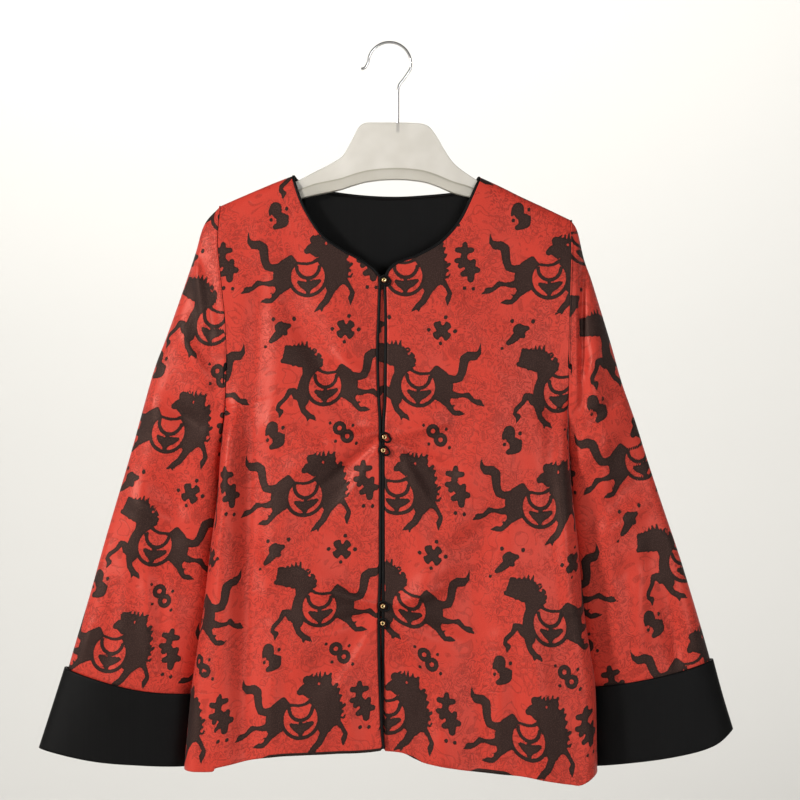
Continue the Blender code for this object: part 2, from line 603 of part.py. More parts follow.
def build_closures():
    edges = [front_sheet(side)[:, -1] for side in (-1, 1)]
    for number, (x, z, angle) in enumerate(BEADS, start=1):
        y = bead_depth(edges, z)
        build_bead(f"bead_{number}", x, y - PIPE_R - CLEAR - BEAD_R, z)
        build_loop(f"loop_{number}", x, y - PIPE_R - CLEAR - CORD_R, z, angle)


def hanger_ring(top, bottom, half):
    """Section of the hanger at one x: a plate with rounded top edges on a thicker rim."""
    rim = min(RIM_HEIGHT, 0.45 * (top - bottom))
    wide = min(RIM_HALF, 1.9 * half)
    side = [(half - HANGER_BEVEL, top), (half, top - HANGER_BEVEL), (half, bottom + rim),
            (wide, bottom + rim - 1.4), (wide, bottom + HANGER_BEVEL), (wide - HANGER_BEVEL, bottom)]
    return side + [(-y, z) for y, z in reversed(side)]


def build_hanger():
    stations = np.array(HANGER, float)
    sheet = np.array([[(x, y, z) for y, z in hanger_ring(top, bottom, half)]
                      for x, top, bottom, half in stations])
    rows, columns = sheet.shape[:2]
    faces = grid_faces(rows, columns, ring=True)
    faces.append(tuple(range(columns))[::-1])
    faces.append(tuple((rows - 1) * columns + c for c in range(columns)))
    mesh = bpy.data.meshes.new("hanger")
    mesh.from_pydata((sheet.reshape(-1, 3) * MM).tolist(), [], [face[::-1] for face in faces])
    hanger = add_object("hanger", mesh, "plastic")
    foot = SHANK_FOOT_Z - 0.4
    bpy.ops.mesh.primitive_cylinder_add(vertices=12, radius=WIRE_HOLE_R * MM,
                                        depth=(HANGER_TOP_Z + 4 - foot) * MM,
                                        location=(SHANK_X * MM, 0, (HANGER_TOP_Z + 4 + foot) / 2 * MM))
    cutter = bpy.context.object
    cutter.name = "shank_hole"
    cutter.hide_render = True
    cutter.display_type = "WIRE"
    bpy.context.collection.objects.unlink(cutter)
    cutters.objects.link(cutter)
    hole = hanger.modifiers.new("shank hole", "BOOLEAN")
    hole.operation = "DIFFERENCE"
    hole.object = cutter


def build_hook():
    arc = [(0.5 + HOOK_R * math.cos(math.radians(a)), WIRE_R - HOOK_R + HOOK_R * math.sin(math.radians(a)))
           for a in range(176, -17, -12)]
    route = HOOK_TIP + arc + HOOK_BEND
    bent = spline(route, np.linspace(0, 1, 31))
    straight = [(SHANK_X, z) for z in (-72, -86, SHANK_FOOT_Z)]
    tube("hook", [(x, 0, z) for x, z in [*bent, *straight]], WIRE_R, "wire")


for old in list(bpy.data.objects):
    bpy.data.objects.remove(old, do_unlink=True)
parts = bpy.data.collections.new(OBJECT)
cutters = bpy.data.collections.new("cutters")
bpy.context.scene.collection.children.link(parts)
bpy.context.scene.collection.children.link(cutters)

build_body()
build_sleeves()
build_bindings()
build_closures()
build_hanger()
build_hook()
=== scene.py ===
"""Looks of the cropped jacket on its hanger.

Metres in the scene, millimetres in the tables, +Z up, the front faces -Y. The origin is the point
where the hook bears. Right and left are the wearer's: the right front lies at -X. As a side, -1 is
the right and 1 the left. As a face, -1 is the front and 1 the back.
"""
import math

import bpy
import numpy as np
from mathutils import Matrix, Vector


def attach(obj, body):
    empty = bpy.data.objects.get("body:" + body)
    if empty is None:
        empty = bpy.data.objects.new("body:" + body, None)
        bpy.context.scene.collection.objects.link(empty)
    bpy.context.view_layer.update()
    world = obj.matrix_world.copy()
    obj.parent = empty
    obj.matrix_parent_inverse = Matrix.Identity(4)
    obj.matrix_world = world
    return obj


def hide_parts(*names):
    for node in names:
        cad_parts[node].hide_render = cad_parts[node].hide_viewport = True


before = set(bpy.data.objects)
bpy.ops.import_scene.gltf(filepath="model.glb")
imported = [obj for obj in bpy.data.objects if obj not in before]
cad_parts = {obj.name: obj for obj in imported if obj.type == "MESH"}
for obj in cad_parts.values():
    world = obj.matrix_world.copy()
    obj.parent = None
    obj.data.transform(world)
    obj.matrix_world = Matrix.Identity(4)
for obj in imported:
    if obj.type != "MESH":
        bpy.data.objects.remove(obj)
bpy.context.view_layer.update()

MM = 0.001
WORDS = {-1: "right", 1: "left"}

# Cloth walls and what is sewn to them, in mm. They are the frame's own sizes.
CLOTH = 1.6
LINING = 1.2
CUFF_WALL = 2.4
SEAM_GAP = 0.5
ARMHOLE_GAP = 0.5
ARMHOLE_STAND = 1.6
CLEAR = 0.35
PIPE_R = 1.35
PIPE_OFF = PIPE_R + 0.3
# Where the bindings end beside the neck points, in from them and in depth, and how many of the last
# rows of a front they leave out for it. Then the row of the back that gives its plane at the neck.
BIND_END_X = 2.1
BIND_END_Y = 1.75
BIND_SHORT = 4
PLANE_ROW = -7
BEAD_R = 3.2
CORD_R = 1.1
LOOP_R = 4.7
LOOP_TIP = 7.6
LOOP_POINTED = 5
LOOP_POINTS = 48
WIRE_R = 1.5
HOOK_R = 23.6
HOOK_X = 0.5
SHANK_X = 9.7
SHANK_FOOT_Z = -99.6

# Side of the body from the hem's corner up to the underarm, then the armhole up to the tip of the
# shoulder. Columns: x, z.
SIDE = {-1: [(-224, -794), (-217, -717), (-211, -672), (-203, -619), (-195, -552), (-188, -499),
             (-184, -446), (-179, -400)],
        1: [(228, -797), (226, -709), (221, -672), (213, -619), (207, -552), (200, -488), (197, -446),
            (196, -400)]}
ARMHOLE = {-1: [(-179, -400), (-177, -355), (-178, -310), (-181, -279), (-184, -250), (-187, -216),
                (-184.5, -178.5)],
           1: [(196, -400), (196, -360), (196, -329), (197, -292), (198, -256), (199, -224), (199, -194)]}

# Shoulder seams from the tip to the neck. Columns: x, z.
SHOULDER = {-1: [(-184.5, -178.5), (-163, -169), (-142, -160), (-124, -152.5), (-107, -146)],
            1: [(199, -194), (172, -181), (144, -168), (122, -157), (101, -147.5)]}

# Bound edge of each front from the hem up to the neck's V, then the neckline up to the neck point.
# Columns: x, z.
EDGE = {-1: [(-5.5, -769), (-8, -740), (-10.5, -670), (-10.6, -620), (-9.2, -560), (-9.2, -430),
             (-10.8, -392), (-12.3, -340), (-11, -300), (-9.8, -258)],
        1: [(-7.5, -769), (-7.3, -740), (-6.6, -690), (-6.3, -640), (-6, -560), (-6, -430), (-4.2, -392),
            (-3.6, -340), (-3.6, -300), (-4.6, -260)]}
NECK = {-1: [(-9.8, -258), (-17.5, -248.5), (-32.5, -238), (-51, -228), (-72, -213), (-87, -192),
             (-98, -170), (-105.4, -146.5)],
        1: [(-4.6, -260), (-0.5, -251), (9.5, -242), (33, -233), (58, -218), (77, -196), (90, -170),
            (99.4, -148)]}
NECK_BACK = [(-107, -146), (-93, -155), (-72, -161.5), (-32, -167), (8, -169), (42, -167), (74, -163.5),
             (90, -156), (101, -147.5)]

# Hems from the side's corner. Columns: x, z.
HEM = {-1: [(-224, -794), (-192, -794), (-184, -789), (-134, -779), (-92, -775.5), (-31, -773.5),
            (-7.2, -771)],
       1: [(228, -797), (209, -808), (196, -807.5), (172, -803.5), (142, -798.5), (96, -794.5),
           (46, -786.5), (29, -780.5), (15, -774), (-5.8, -772)]}
HEM_BACK = [(-224, -794), (-190, -794), (-150, -787), (-120, -784.5), (-85, -782), (-45, -776), (0, -773),
            (40, -784), (80, -797), (111, -800.5), (145, -798), (190, -803), (228, -797)]

# Where the underarm and the neck's V fall, as shares of a panel's height. The side turns from seam
# to armhole over the third share.
UNDERARM_ROW = 0.62
V_ROW = 0.80
UNDERARM_SOFT = 0.13
# Share of the back's width from a side to the neck point.
NECK_SHARE = 0.29

# Depth of the body in front of and behind the hanger, below the shoulder. Columns: drop, front, back.
DEPTH = [(0, 0.5, 0.5), (0.5, 2.8, 2.8), (2, 5.2, 5.2), (5, 7.2, 7.4), (9, 8.4, 9.2), (20, 9.6, 10.6),
         (60, 14, 12), (120, 20, 14.5), (220, 26, 18), (400, 30, 21), (640, 36, 25)]
# Where the side seam lies in depth. Columns: z, y.
SIDE_Y = [(-810, -9), (-600, -9), (-400, -6), (-178, 0)]
SIDE_ROLL = 15.0
ARMHOLE_ROLL = 60.0
# Depth of an armhole's edge from its seam, by face.
ARMHOLE_DEPTH = {-1: 15.0, 1: 13.0}
# Power by which a sleeve, a cuff or an armhole rounds out from its edges, height of the cloth's low
# waves, and the drop below a shoulder over which the folds set in.
ROUNDING = 0.42
WAVE = 0.7
SLEEVE_WAVE = 0.6
FOLD_DROP = 40
# The left front's edge slips behind the right front's near the hem. Its depth, height, reach and
# the x where it is deepest.
SLIP = (4.2, -645.0, 45.0, 34.0, -6)

# Soft ridges (+) and troughs (-) in each panel, along a line.
# Columns: x and z of one end, x and z of the other, half width, rise.
FOLDS = {
    "front_right": [
        (-166, -270, -178, -776, 14, 6.5), (-142, -262, -152, -780, 13, -5.5),
        (-112, -282, -38, -415, 17, -5), (-66, -300, -22, -392, 26, 4.5), (-22, -428, -98, -466, 13, 4),
        (-22, -450, -88, -524, 13, -3.5), (-22, -617, -114, -566, 14, 4), (-22, -640, -98, -708, 19, -5),
        (-84, -560, -96, -778, 22, 5)],
    "front_left": [
        (8, -432, 90, -386, 15, 4), (8, -449, 84, -502, 13, -3.5), (104, -420, 42, -618, 20, 4.5),
        (140, -470, 92, -600, 20, -3.5), (89, -568, 97, -780, 21, -7), (155, -590, 172, -800, 24, 8),
        (8, -619, 56, -577, 12, 3), (8, -641, 44, -744, 15, -4), (182, -285, 183, -440, 9, -3),
        (60, -280, 110, -330, 24, 3)],
    "back": [
        (-150, -300, -172, -785, 20, 7), (-112, -360, -120, -786, 18, -6),
        (-64, -240, -72, -420, 26, 3.5), (-52, -440, -60, -784, 20, 6.5), (-6, -400, -4, -776, 18, -5.5),
        (44, -350, 52, -788, 21, 6), (96, -420, 100, -799, 18, -6), (148, -310, 168, -800, 22, 7.5),
        (30, -230, 90, -300, 24, 3)],
    "sleeve_right": [
        (-212, -236, -186, -330, 7, 6), (-200, -222, -181, -312, 6, -7), (-232, -300, -200, -392, 12, 4),
        (-262, -404, -204, -462, 13, 4), (-276, -470, -214, -520, 14, -4),
        (-318, -560, -338, -680, 15, 4), (-296, -566, -226, -606, 15, -4),
        (-240, -560, -234, -700, 12, 4)],
    "sleeve_left": [
        (208, -222, 213, -398, 6, -6), (205, -232, 204, -396, 5, 5), (226, -300, 214, -470, 11, 4),
        (262, -410, 214, -462, 13, 4), (282, -470, 220, -528, 14, -4), (338, -600, 350, -680, 13, 4),
        (317, -640, 319, -712, 6, -5), (298, -560, 236, -604, 15, -4), (252, -600, 250, -705, 12, 4)]}
# Looser creases that only the finished cloth has, in the same columns.
CREASES = {
    "front_right": [
        (-60, -345, -18, -372, 9, 3), (-16, -428, -64, -436, 6, 3.4), (-15, -438, -72, -486, 6, -3.4),
        (-14, -446, -46, -500, 6, 3), (-16, -612, -70, -598, 6, 3.4), (-16, -622, -82, -640, 7, -3.1),
        (-14, -636, -52, -700, 7, 2.8), (-130, -420, -64, -452, 12, 3), (-150, -560, -92, -640, 13, -3.4),
        (-176, -420, -190, -560, 8, 3.9), (-124, -640, -128, -772, 10, 3.9),
        (-48, -700, -40, -768, 10, 3.1), (-151, -300, -161, -770, 13, -4),
        (-179, -300, -191, -770, 10, 3.8), (-110, -285, -40, -415, 11, -3.2),
        (-58, -640, -70, -772, 16, 4), (-104, -470, -134, -600, 16, 3.2)],
    "front_left": [
        (14, -428, 62, -418, 6, 3.1), (12, -440, 70, -470, 6, -3.1), (12, -448, 44, -506, 6, 3),
        (12, -612, 58, -596, 6, 3.1), (12, -624, 76, -652, 7, -3.1), (10, -636, 40, -700, 7, 2.8),
        (70, -330, 130, -372, 12, 2.8), (120, -520, 60, -560, 12, -2.8), (186, -470, 196, -620, 8, 3.9),
        (140, -660, 146, -792, 11, -3.9), (118, -650, 122, -790, 9, 3.4), (52, -690, 58, -782, 10, 3.4),
        (60, -600, 40, -760, 22, -4.5), (148, -610, 160, -780, 20, 4), (174, -300, 178, -560, 10, -3.2),
        (118, -330, 130, -560, 18, 3.5), (24, -470, 40, -600, 14, 3)],
    "back": [
        (-170, -420, -150, -600, 12, 2.7), (-84, -560, -88, -780, 10, -2.7),
        (20, -560, 16, -776, 11, 2.7), (76, -600, 72, -792, 10, 2.5), (126, -470, 132, -640, 12, -2.7),
        (-120, -260, -60, -300, 14, 2), (60, -250, 130, -290, 14, 2)],
    "sleeve_right": [
        (-222, -330, -196, -372, 7, 3.4), (-250, -392, -208, -420, 8, -3.4),
        (-284, -500, -236, -530, 9, 3.1), (-268, -560, -262, -690, 10, 3.9),
        (-300, -600, -312, -692, 9, -3.4), (-330, -640, -344, -688, 7, 3),
        (-242, -330, -300, -640, 14, 3.8), (-225, -420, -252, -680, 14, -3.8),
        (-205, -236, -192, -318, 4.5, -4.5), (-214, -240, -200, -330, 5, 3)],
    "sleeve_left": [
        (232, -330, 210, -380, 7, 3.4), (256, -390, 214, -420, 8, -3.4), (292, -500, 244, -534, 9, 3.1),
        (276, -560, 276, -700, 10, 3.9), (306, -600, 316, -700, 9, -3.4), (330, -640, 342, -690, 7, 3),
        (226, -330, 246, -600, 10, 3.8), (262, -400, 310, -660, 16, -4), (302, -480, 340, -660, 12, 3.2),
        (214, -226, 210, -320, 4, -4)]}
# The back of a sleeve has the folds of its front, lower down and softer.
BACK_FOLD_DROP = 46.0
BACK_FOLD_SHARE = 0.7

# Sleeves: the outer edge from the tip of the shoulder to the cuff. Columns: x, z.
SLEEVE_OUT = {-1: [(-185, -178.5), (-203, -199), (-214, -234), (-230, -280), (-245, -321), (-260, -360),
                   (-275, -412), (-288, -458), (-313, -541), (-331, -605), (-351, -672), (-356, -690)],
              1: [(199.5, -194), (207, -206), (214.5, -237), (222.5, -259), (233, -292), (246, -334),
                  (257, -372), (272, -414), (288, -464), (304, -512), (323, -568), (341, -627),
                  (354, -672), (358, -688)]}
SLEEVE_END = {-1: [(-356, -690), (-315, -703), (-272, -713), (-213, -722)],
              1: [(358, -688), (318, -697), (272, -707), (226, -716)]}
# How far a sleeve's inner edge, and its cuff's, lie behind the body's side. Columns: z, tuck.
SLEEVE_TUCK = [(-400, -0.3), (-470, -0.3), (-560, 2.0), (-620, 2.8), (-700, 2.2), (-714, -2.3)]
CUFF_TUCK = [(-700, 2.4), (-800, 2.2)]
# Middle and half depth of a sleeve along its length. Columns: share, middle y, half depth.
SLEEVE_SECTION = [(0, 0, 14), (0.2, 5, 17), (0.45, 13, 18), (0.75, 17, 18.5), (1, 18, 18.5)]
# Share of a sleeve's length over which it takes its depth from the armhole. Then shares for its
# folds: where they have set in, where they would end, inside the cuff, and over how much they fade.
ARMHOLE_SHARE = 0.2
SLEEVE_CALM = (0.13, 1.04, 0.12)

# Cuffs: the outer edge line, then the top and bottom lines from there to the body. Columns: x, z.
CUFF_OUT = {-1: [(-360, -688), (-374, -732), (-388.5, -777)],
            1: [(359.5, -679), (370, -718), (381.5, -756)]}
CUFF_TOP = {-1: [(-360, -688), (-322, -699.5), (-272, -712), (-214, -717)],
            1: [(359.5, -679), (315, -692), (269, -702), (223, -709)]}
CUFF_END = {-1: [(-388.5, -777), (-326, -789), (-272, -794), (-221, -797)],
            1: [(381.5, -756), (357, -773), (314.5, -784), (226, -797)]}
CUFF_MIDDLE_Y = 18.0
CUFF_HALF_DEPTH = 22.5

# Beads and their loops, down the closing. Columns: x, z, angle of the loop's tip in degrees.
BEADS = [(-5.2, -261.5, -20), (-4.7, -432, -35), (-6, -446.4, -30), (-6.4, -614.5, -28),
         (-6.6, -633.2, -35)]
# A bead before it is lobed: radius of its ring and of its section, then how much its waists are
# drawn in and how much it is drawn out along its hole.
BEAD_RING = 2.05
BEAD_SECTION = 1.3
BEAD_WAIST = 0.8
BEAD_LONG = 1.7

# Hanger seen from the front. Columns: x, top z, bottom z, half thickness.
HANGER = [(-177, -178.4, -192, 2.4), (-165, -173.3, -191, 2.6), (-142, -164.8, -184.5, 2.8),
          (-120, -158.5, -177.5, 3), (-98, -149.8, -171, 3.2), (-84, -142.5, -167.5, 3.4),
          (-67, -134, -164, 3.6), (-53, -125.5, -161, 3.6), (-47, -117.8, -159, 3.6),
          (-41, -107, -157, 3.6), (-36, -97, -155.4, 3.6), (-33, -92, -154.6, 3.6),
          (-29.5, -89, -153.6, 3.6), (-25, -87.3, -152.6, 3.6), (-20, -87, -151.8, 3.6),
          (-8, -87, -150.4, 3.6), (6, -87, -149.8, 3.6), (20, -87.2, -150.2, 3.6), (34, -88, -151.8, 3.6),
          (40, -89.5, -153, 3.6), (45, -92.5, -154.4, 3.6), (49, -97.5, -155.8, 3.6),
          (54, -105, -157.6, 3.6), (60, -115.5, -160.2, 3.6), (66, -125, -162.8, 3.6),
          (72, -132.5, -165, 3.6), (81, -140, -167.6, 3.4), (98, -151, -172, 3.2), (122, -162.5, -184, 3),
          (146, -172.6, -193, 2.8), (168, -182.6, -202, 2.6), (189, -193.4, -207, 2.4)]
RIM_HEIGHT = 11.5
RIM_HALF = 5.4
# Painted shade on the hanger at each point of half its section, from the top to the foot: a painted shadow
# line at the rim's step and painted shade on the rim below it.
RIM_PAINTED_SHADE = (0, 0, 0, 0, 0, 1, 0.55, 0.45, 0.45, 0.55, 0.6)

# Hook wire: the free end before the arc, and the bend after it. Columns: x, z.
HOOK_TIP = [(-30.5, -28), (-26.5, -26.6), (-24.2, -23)]
HOOK_BEND = [(16.4, -38.8), (11.6, -45), (9.9, -51), (9.7, -58)]
SHANK_Z = (-64, -72, -86, SHANK_FOOT_Z)

# Lowest and highest share of the back's height that the lining reaches, and the share of the neck's
# width that it leaves free at each side.
LINING_FOOT = 0.70
LINING_TOP = 0.999
LINING_FREE = 0.06
# Strip behind the closing: its x range, top and foot, how far its face lies behind the fronts', and
# its points across.
UNDERLAP = (-25.0, 11.0, -263.0, -764.0)
UNDERLAP_BACK = 2.7
UNDERLAP_COLUMNS = 15

# Spacing of the finished cloth's points, across and along, and the rows over a shoulder's roll by
# how far they lie below its top, in mm.
STEP_X = 1.75
STEP_Z = 1.8
BACK_STEP = 3.6
RING = 192
SLEEVE_ROWS = 192
CUFF_ROWS = 38
HANGER_RINGS = 190
HEM_TURN = 27.0
# Rows on either side over which the pattern's way round the folds is evened out.
EASED_ROWS = 9
# The front's column that stays true under its pattern, counted from its bound edge, and how fast
# the pattern's dip at the hem fades up the front.
FRONT_STILL = -12
DIP_FADE = 1.6
# The bindings as shown, drawn up against the cloth's edge.
SHOWN_PIPE_R = 1.72
# Where a dark band is painted along a front's hem: the lining's edge peeking out, with painted shadow under
# the hem. Columns: side, first x, last x, height.
HEM_LINING_AND_SHADOW = [(-1, -142, 8, 3.6), (1, 84, 138, 4.6), (1, 14, 40, 2.4)]
HEM_LINING_AND_SHADOW_SOFT = 14
PANEL_HEIGHT = 640.0
SHOULDER_DROPS = (20, 17, 14, 11.5, 9, 7, 5, 3.5, 2.2, 1.2, 0.5, 0)
ROLL_ANGLES = (0, 6, 13, 21, 30, 40, 51, 63, 76, 90)
FRONT_WIDTH = 195.0
BACK_WIDTH = 400.0

# Studio, in metres: the point the camera looks at, its distance, the width it sees and the lights.
AIM = (0.0121, 0.0, -0.392)
CAMERA_AWAY = 2.0
FRAME_WIDTH = 0.88
SENSOR = 36
WORLD_LIGHT = 0.16
# Columns: name, place, aim, size, power, colour.
LIGHTS = [("key", (-2.1, -1.75, 0.35), AIM, 0.42, 56, (1.0, 0.97, 0.93)),
          ("fill", (1.2, -2.4, -0.3), AIM, 1.0, 20, (0.97, 0.98, 1.0)),
          ("wall", (-0.2, 0.7, 1.4), (-0.2, 3.0, 0.66), 1.6, 98, (1.0, 0.99, 0.96))]
# Section of the backdrop, a bowl. Columns: distance from the middle, height above the floor.
FLOOR_Z = -1.25
BOWL = [(0, 0), (1.7, 0), (2.2, 0.08), (2.6, 0.3), (2.85, 0.7), (2.95, 1.3), (3.0, 2.6)]

# The brocade's repeat in mm. Then the grain of each front and sleeve: lean of the lengthwise and of
# the crosswise threads in degrees, stretch across and along, x and z of one horse that looks back.
REPEAT_X = 157.0
REPEAT_Z = 236.5
FRONT_GRAIN = {-1: (0.9, 0.0, 1.0, 1.0, -88.4, -257.3), 1: (2.3, 0.6, 1.0, 1.0, 18.0, -256.5)}
SLEEVE_GRAIN = {-1: (15.1, 11.7, 1.03, 0.945, -242.5, -427.7),
                1: (-15.0, -17.4, 0.976, 0.965, 279.0, -457.4)}

# Limbs of the woven horses round the ring on their flank, in mm. Each row is one limb: x, y and
# radius of each of its points in turn. The rear is drawn for a horse that runs to the right.
HORSE_REAR = [
    (-66, 48.5, 0.4, -65.8, 43, 1.3, -64.6, 38, 2.7, -60, 34.8, 4.6, -54, 34.8, 4.9, -49.3, 31.5, 5.1,
    -48.4, 25, 4.9, -47.4, 18, 4.5, -44.8, 11.4, 4.2, -39, 9.6, 4, -31, 10, 5),
    (-20.5, 15.8, 6.2, -25.2, 9.5, 7.4, -29, 1.8, 9.2, -28.3, -7.5, 8.6),
    (-19.2, 20.6, 3.2, -29, 14.5, 3), (-19.2, 20.6, 3.2, -15, 14, 4), (-16.5, 12.6, 3.2, -21, 3, 3.4),
    (-34, -4.4, 4.6, -28, -8, 6), (-24, -8, 6.2, -22, -1, 4.4), (-34, -5.6, 4.6, -42, -7.2, 3.2,
    -48.5, -6.7, 2, -54.6, -6.4, 3.1, -60.6, -12, 2.3, -66, -13.6, 3.3, -73, -17.2, 0.5),
    (-67, -12, 2, -70.4, -12.6, 0.6), (-30, -13, 5.4, -33, -17, 3.4, -36, -21, 3, -40.4, -25.6, 2.5,
    -45.6, -25.4, 2.9, -52.4, -26.4, 0.5), (-36, -20, 1.8, -40.6, -17.4, 0.7)]
HORSE_SADDLE = [(-18, 17, 1.6, -12, 15, 1.5, -2, 13.9, 1.6, 4.6, 15.2, 1.6, 10.5, 18.6, 2.2)]
SADDLE_CLOTH = [
    (-10, -6, 2.1, -5.4, -8.6, 3.9, 0, -11.6, 5, 0.8, -17.4, 1.9),
    (0.8, -10.2, 5, 7.4, -7.4, 4, 12.6, -4.6, 2.3), (0.4, -8, 2.2, 0.4, -2.6, 1.8)]
# Neck, head and front legs of the horse that looks back and of the one that looks ahead.
LOOKING_BACK = [
    (26, 14.4, 15.6, 23.5, 29, 12), (34, 23, 8, 32, 2, 11, 26.5, -9, 7.8), (39, 5.3, 5.6, 37, -4, 4.8),
    (17, 8, 3.2, 19, 18, 4), (6.2, 40.4, 4.8, 14, 37, 7),
    (-1.4, 28, 3.4, 2.6, 30.6, 5, 12, 33, 8.6, 20, 27, 9), (4, 27, 2.6, 9, 23.6, 2.6),
    (28, 40, 5.4, 24, 36, 7), (10, 44, 1.6, 12.6, 47, 0.6), (15.4, 43.6, 1.6, 16.6, 48, 0.5),
    (20, 43, 1.9, 20.2, 49, 0.7), (25, 43.6, 1.8, 25.8, 48.6, 0.8), (30.4, 43.4, 2, 31.8, 46.8, 1.4),
    (36.5, 32, 2.6, 38.6, 35.6, 1.9), (39.6, 29.4, 2.8, 41.6, 31, 1.3), (41.4, 22.4, 2.9, 43.6, 24, 1.3),
    (42.4, 15, 2.6, 44, 16, 1.2), (43, 10.6, 2.2, 47.6, 14, 1.7), (43.4, 7.6, 2, 46, 6.6, 1.5),
    (42.6, 0.6, 1.4, 46.6, -0.4, 1.1, 48.4, 3, 1.1),
    (25.4, -16, 4.2, 20.8, -26, 3.6, 15.6, -31.4, 3.4, 8, -37.8, 0.7), (16.4, -31, 2.6, 15.6, -37.6, 0.8),
    (40.2, -4, 3.6, 45.2, -10, 2.4, 49.3, -17.3, 2.4, 47.3, -23, 3.1, 46.8, -31, 0.4)]
LOOKING_AHEAD = [
    (-48.4, 27.6, 2.6, -40.3, 28.4, 5.4), (-42.2, 37.6, 4.8, -32, 36.3, 7.4),
    (-43.1, 32.4, 5.2, -29.4, 29.9, 9.8), (-26.6, 38.6, 5.4, -20.7, 36.6, 4.8),
    (-19.3, 26.3, 9.8, -12, 25.4, 7.2), (-44.4, 42.4, 2, -39.9, 42.4, 1.9),
    (-35.3, 42.8, 2, -35.3, 43.4, 1.6), (-30.3, 41.8, 2, -30.4, 47.6, 0.5),
    (-25.9, 42.2, 2.1, -26.2, 48.6, 0.6), (-21.6, 41.6, 2, -21, 48, 0.9),
    (-18, 38.8, 1.8, -17.6, 41.6, 0.8), (-7.7, 32.4, 3, -8.4, 34.6, 1.6),
    (-5.6, 27.2, 2.9, -4.6, 28.6, 1.5), (-6.3, 22.6, 2.9, -4.9, 23, 1.6), (-14.6, 35, 2, -15, 38.6, 1.2),
    (-37, 23.4, 2, -34, 25, 3), (-18.4, 19.9, 9, -18.8, 12.6, 7.6, -22.6, 4.6, 7, -24.2, -3.8, 7,
    -24.6, -11, 7.4, -22.6, -16, 5.6),
    (-25.2, -18, 3.6, -22.1, -26.4, 3.1, -16.6, -31.6, 3.2, -16.8, -37.4, 0.8),
    (-16.6, -31.6, 3, -11.4, -33.6, 2.5, -7.9, -37, 0.8), (-31, -10.2, 4.6, -34.6, -5.4, 3.6,
    -39, -5.2, 3.3, -42.2, -12, 2.4, -49.4, -19.2, 2.5, -51, -24.2, 1.8, -46.8, -26.9, 3.1,
    -48.2, -33.4, 0.5)]
# Their round parts: radius of the bare flank, then the height at which the saddle's bow and the
# girth end, their radius and half stroke. The bow's middle lies at that height. Then the eyes: x, y,
# radius, and how narrow the first is and the half stroke of the second.
FLANK = 18.4
BOW = (11, 12.4, 2.0)
GIRTH = (6, 20.3, 2.0)
EYE_BACK = (19.2, 36.2, 1.8, 1.4)
EYE_AHEAD = (-12.8, 38, 2.1, 1.0)
TREASURES = {
    "cross": [
        (-5.4, 5.2, 4, 4.8, -5.8, 4.1), (5.7, 4.9, 3.8, -5.7, -5.2, 4), (-7.4, 6.4, 2.4, -3.6, 7.8, 2.4),
        (7.6, 4, 2.2, 4.6, 7.6, 2.2), (-8, -4, 2.4, -5, -7.8, 2.4), (7.6, -4.6, 2.3, 4.2, -8.8, 2.2),
        (3.2, 14.2, 2.3), (14, -0.5, 2.4), (-14.7, 0.3, 2.3), (-1.3, -13.8, 2.1)],
    "cloud": [
        (1, 5.4, 5.6, 2, 1.6, 5.6), (-1, 4.6, 5, 5, 5.2, 4.6), (5, 5.2, 4, 10, 6.4, 2.6),
        (0, 9.2, 1.8, 2, 9.8, 1.6), (5.6, -1.6, 2.8, 3, 1, 4),
        (-2, -2.6, 4.6, -6.4, -6.8, 3.8, -10.4, -9.8, 2.6), (-6.9, 13.8, 2.2, -6.9, 13.4, 2.2),
        (16, 14, 2.3, 16, 13.6, 2.3), (-17, -15.6, 1.9)],
    "gourd": [
        (-3.4, 8, 6.6, -3, 5, 6.4), (-8.4, 5.4, 2.8, -9.6, 0.6, 1.5), (3.8, -4, 6.6, 4.4, -7, 6.8),
        (9, -3.6, 2.4, 9.8, -0.4, 1.4), (-2, 0.6, 4.4, 2, -2, 4.4), (2, -10.6, 4.4, -3.6, -13, 2.8),
        (8.6, 7.4, 2, 8.6, 6.8, 2), (-8.2, -5.4, 2, -8.2, -5, 2)],
    "stack": [
        (-3.6, 19.4, 2.8, -3.6, 12.3, 3.9), (-11.7, 13.2, 3, -3.6, 12.3, 3.6),
        (4.1, 13.2, 2.9, -3.6, 12.3, 3.6),
        (-3.6, 12.3, 3.8, -4.4, 3.6, 3.6, -1.8, 0, 4.2, 3.6, -7.3, 5.2), (-11.9, 1.6, 2.9, -4, 1.6, 3.8),
        (-7.8, -4, 3, -3.4, 1, 4), (6.4, 1, 2.9, 3.6, -6.8, 5), (11, -8.2, 3.2, 3.6, -7.4, 5),
        (-4.6, -12.6, 3.1, 3, -9, 4.6), (4.1, -17.8, 3.8, 3.8, -9, 4.8),
        (-2.3, -27.6, 2.2, -2.3, -27.4, 2.2), (7.3, -28.3, 2.1, 7.3, -28, 2.1)],
    "coins": [
        (-15, 9.8, 1.9), (10.1, 6.9, 1.8, 10.1, 7.2, 1.8), (-8.3, -9.8, 1.9, -8.3, -9.6, 1.9),
        (14.4, -12.3, 1.9, 14.4, -12, 1.9)]}
# The two coins: how far each one's middle lies across and down from the place between them, then
# their radius and half stroke.
COINS = (4.4, 5.0, 2.5)
# Further than any figure reaches.
FAR = 1e3
# Figures of one repeat, from the horse that looks back. Columns: name, x, z.
FIGURES = [("looking back", 0, 0), ("looking ahead", 18.6, -118), ("cross", 42.4, -57),
           ("cloud", -31.8, -59), ("gourd", -33.3, -169), ("coins", 41.4, -168), ("stack", 67.3, 16.2)]


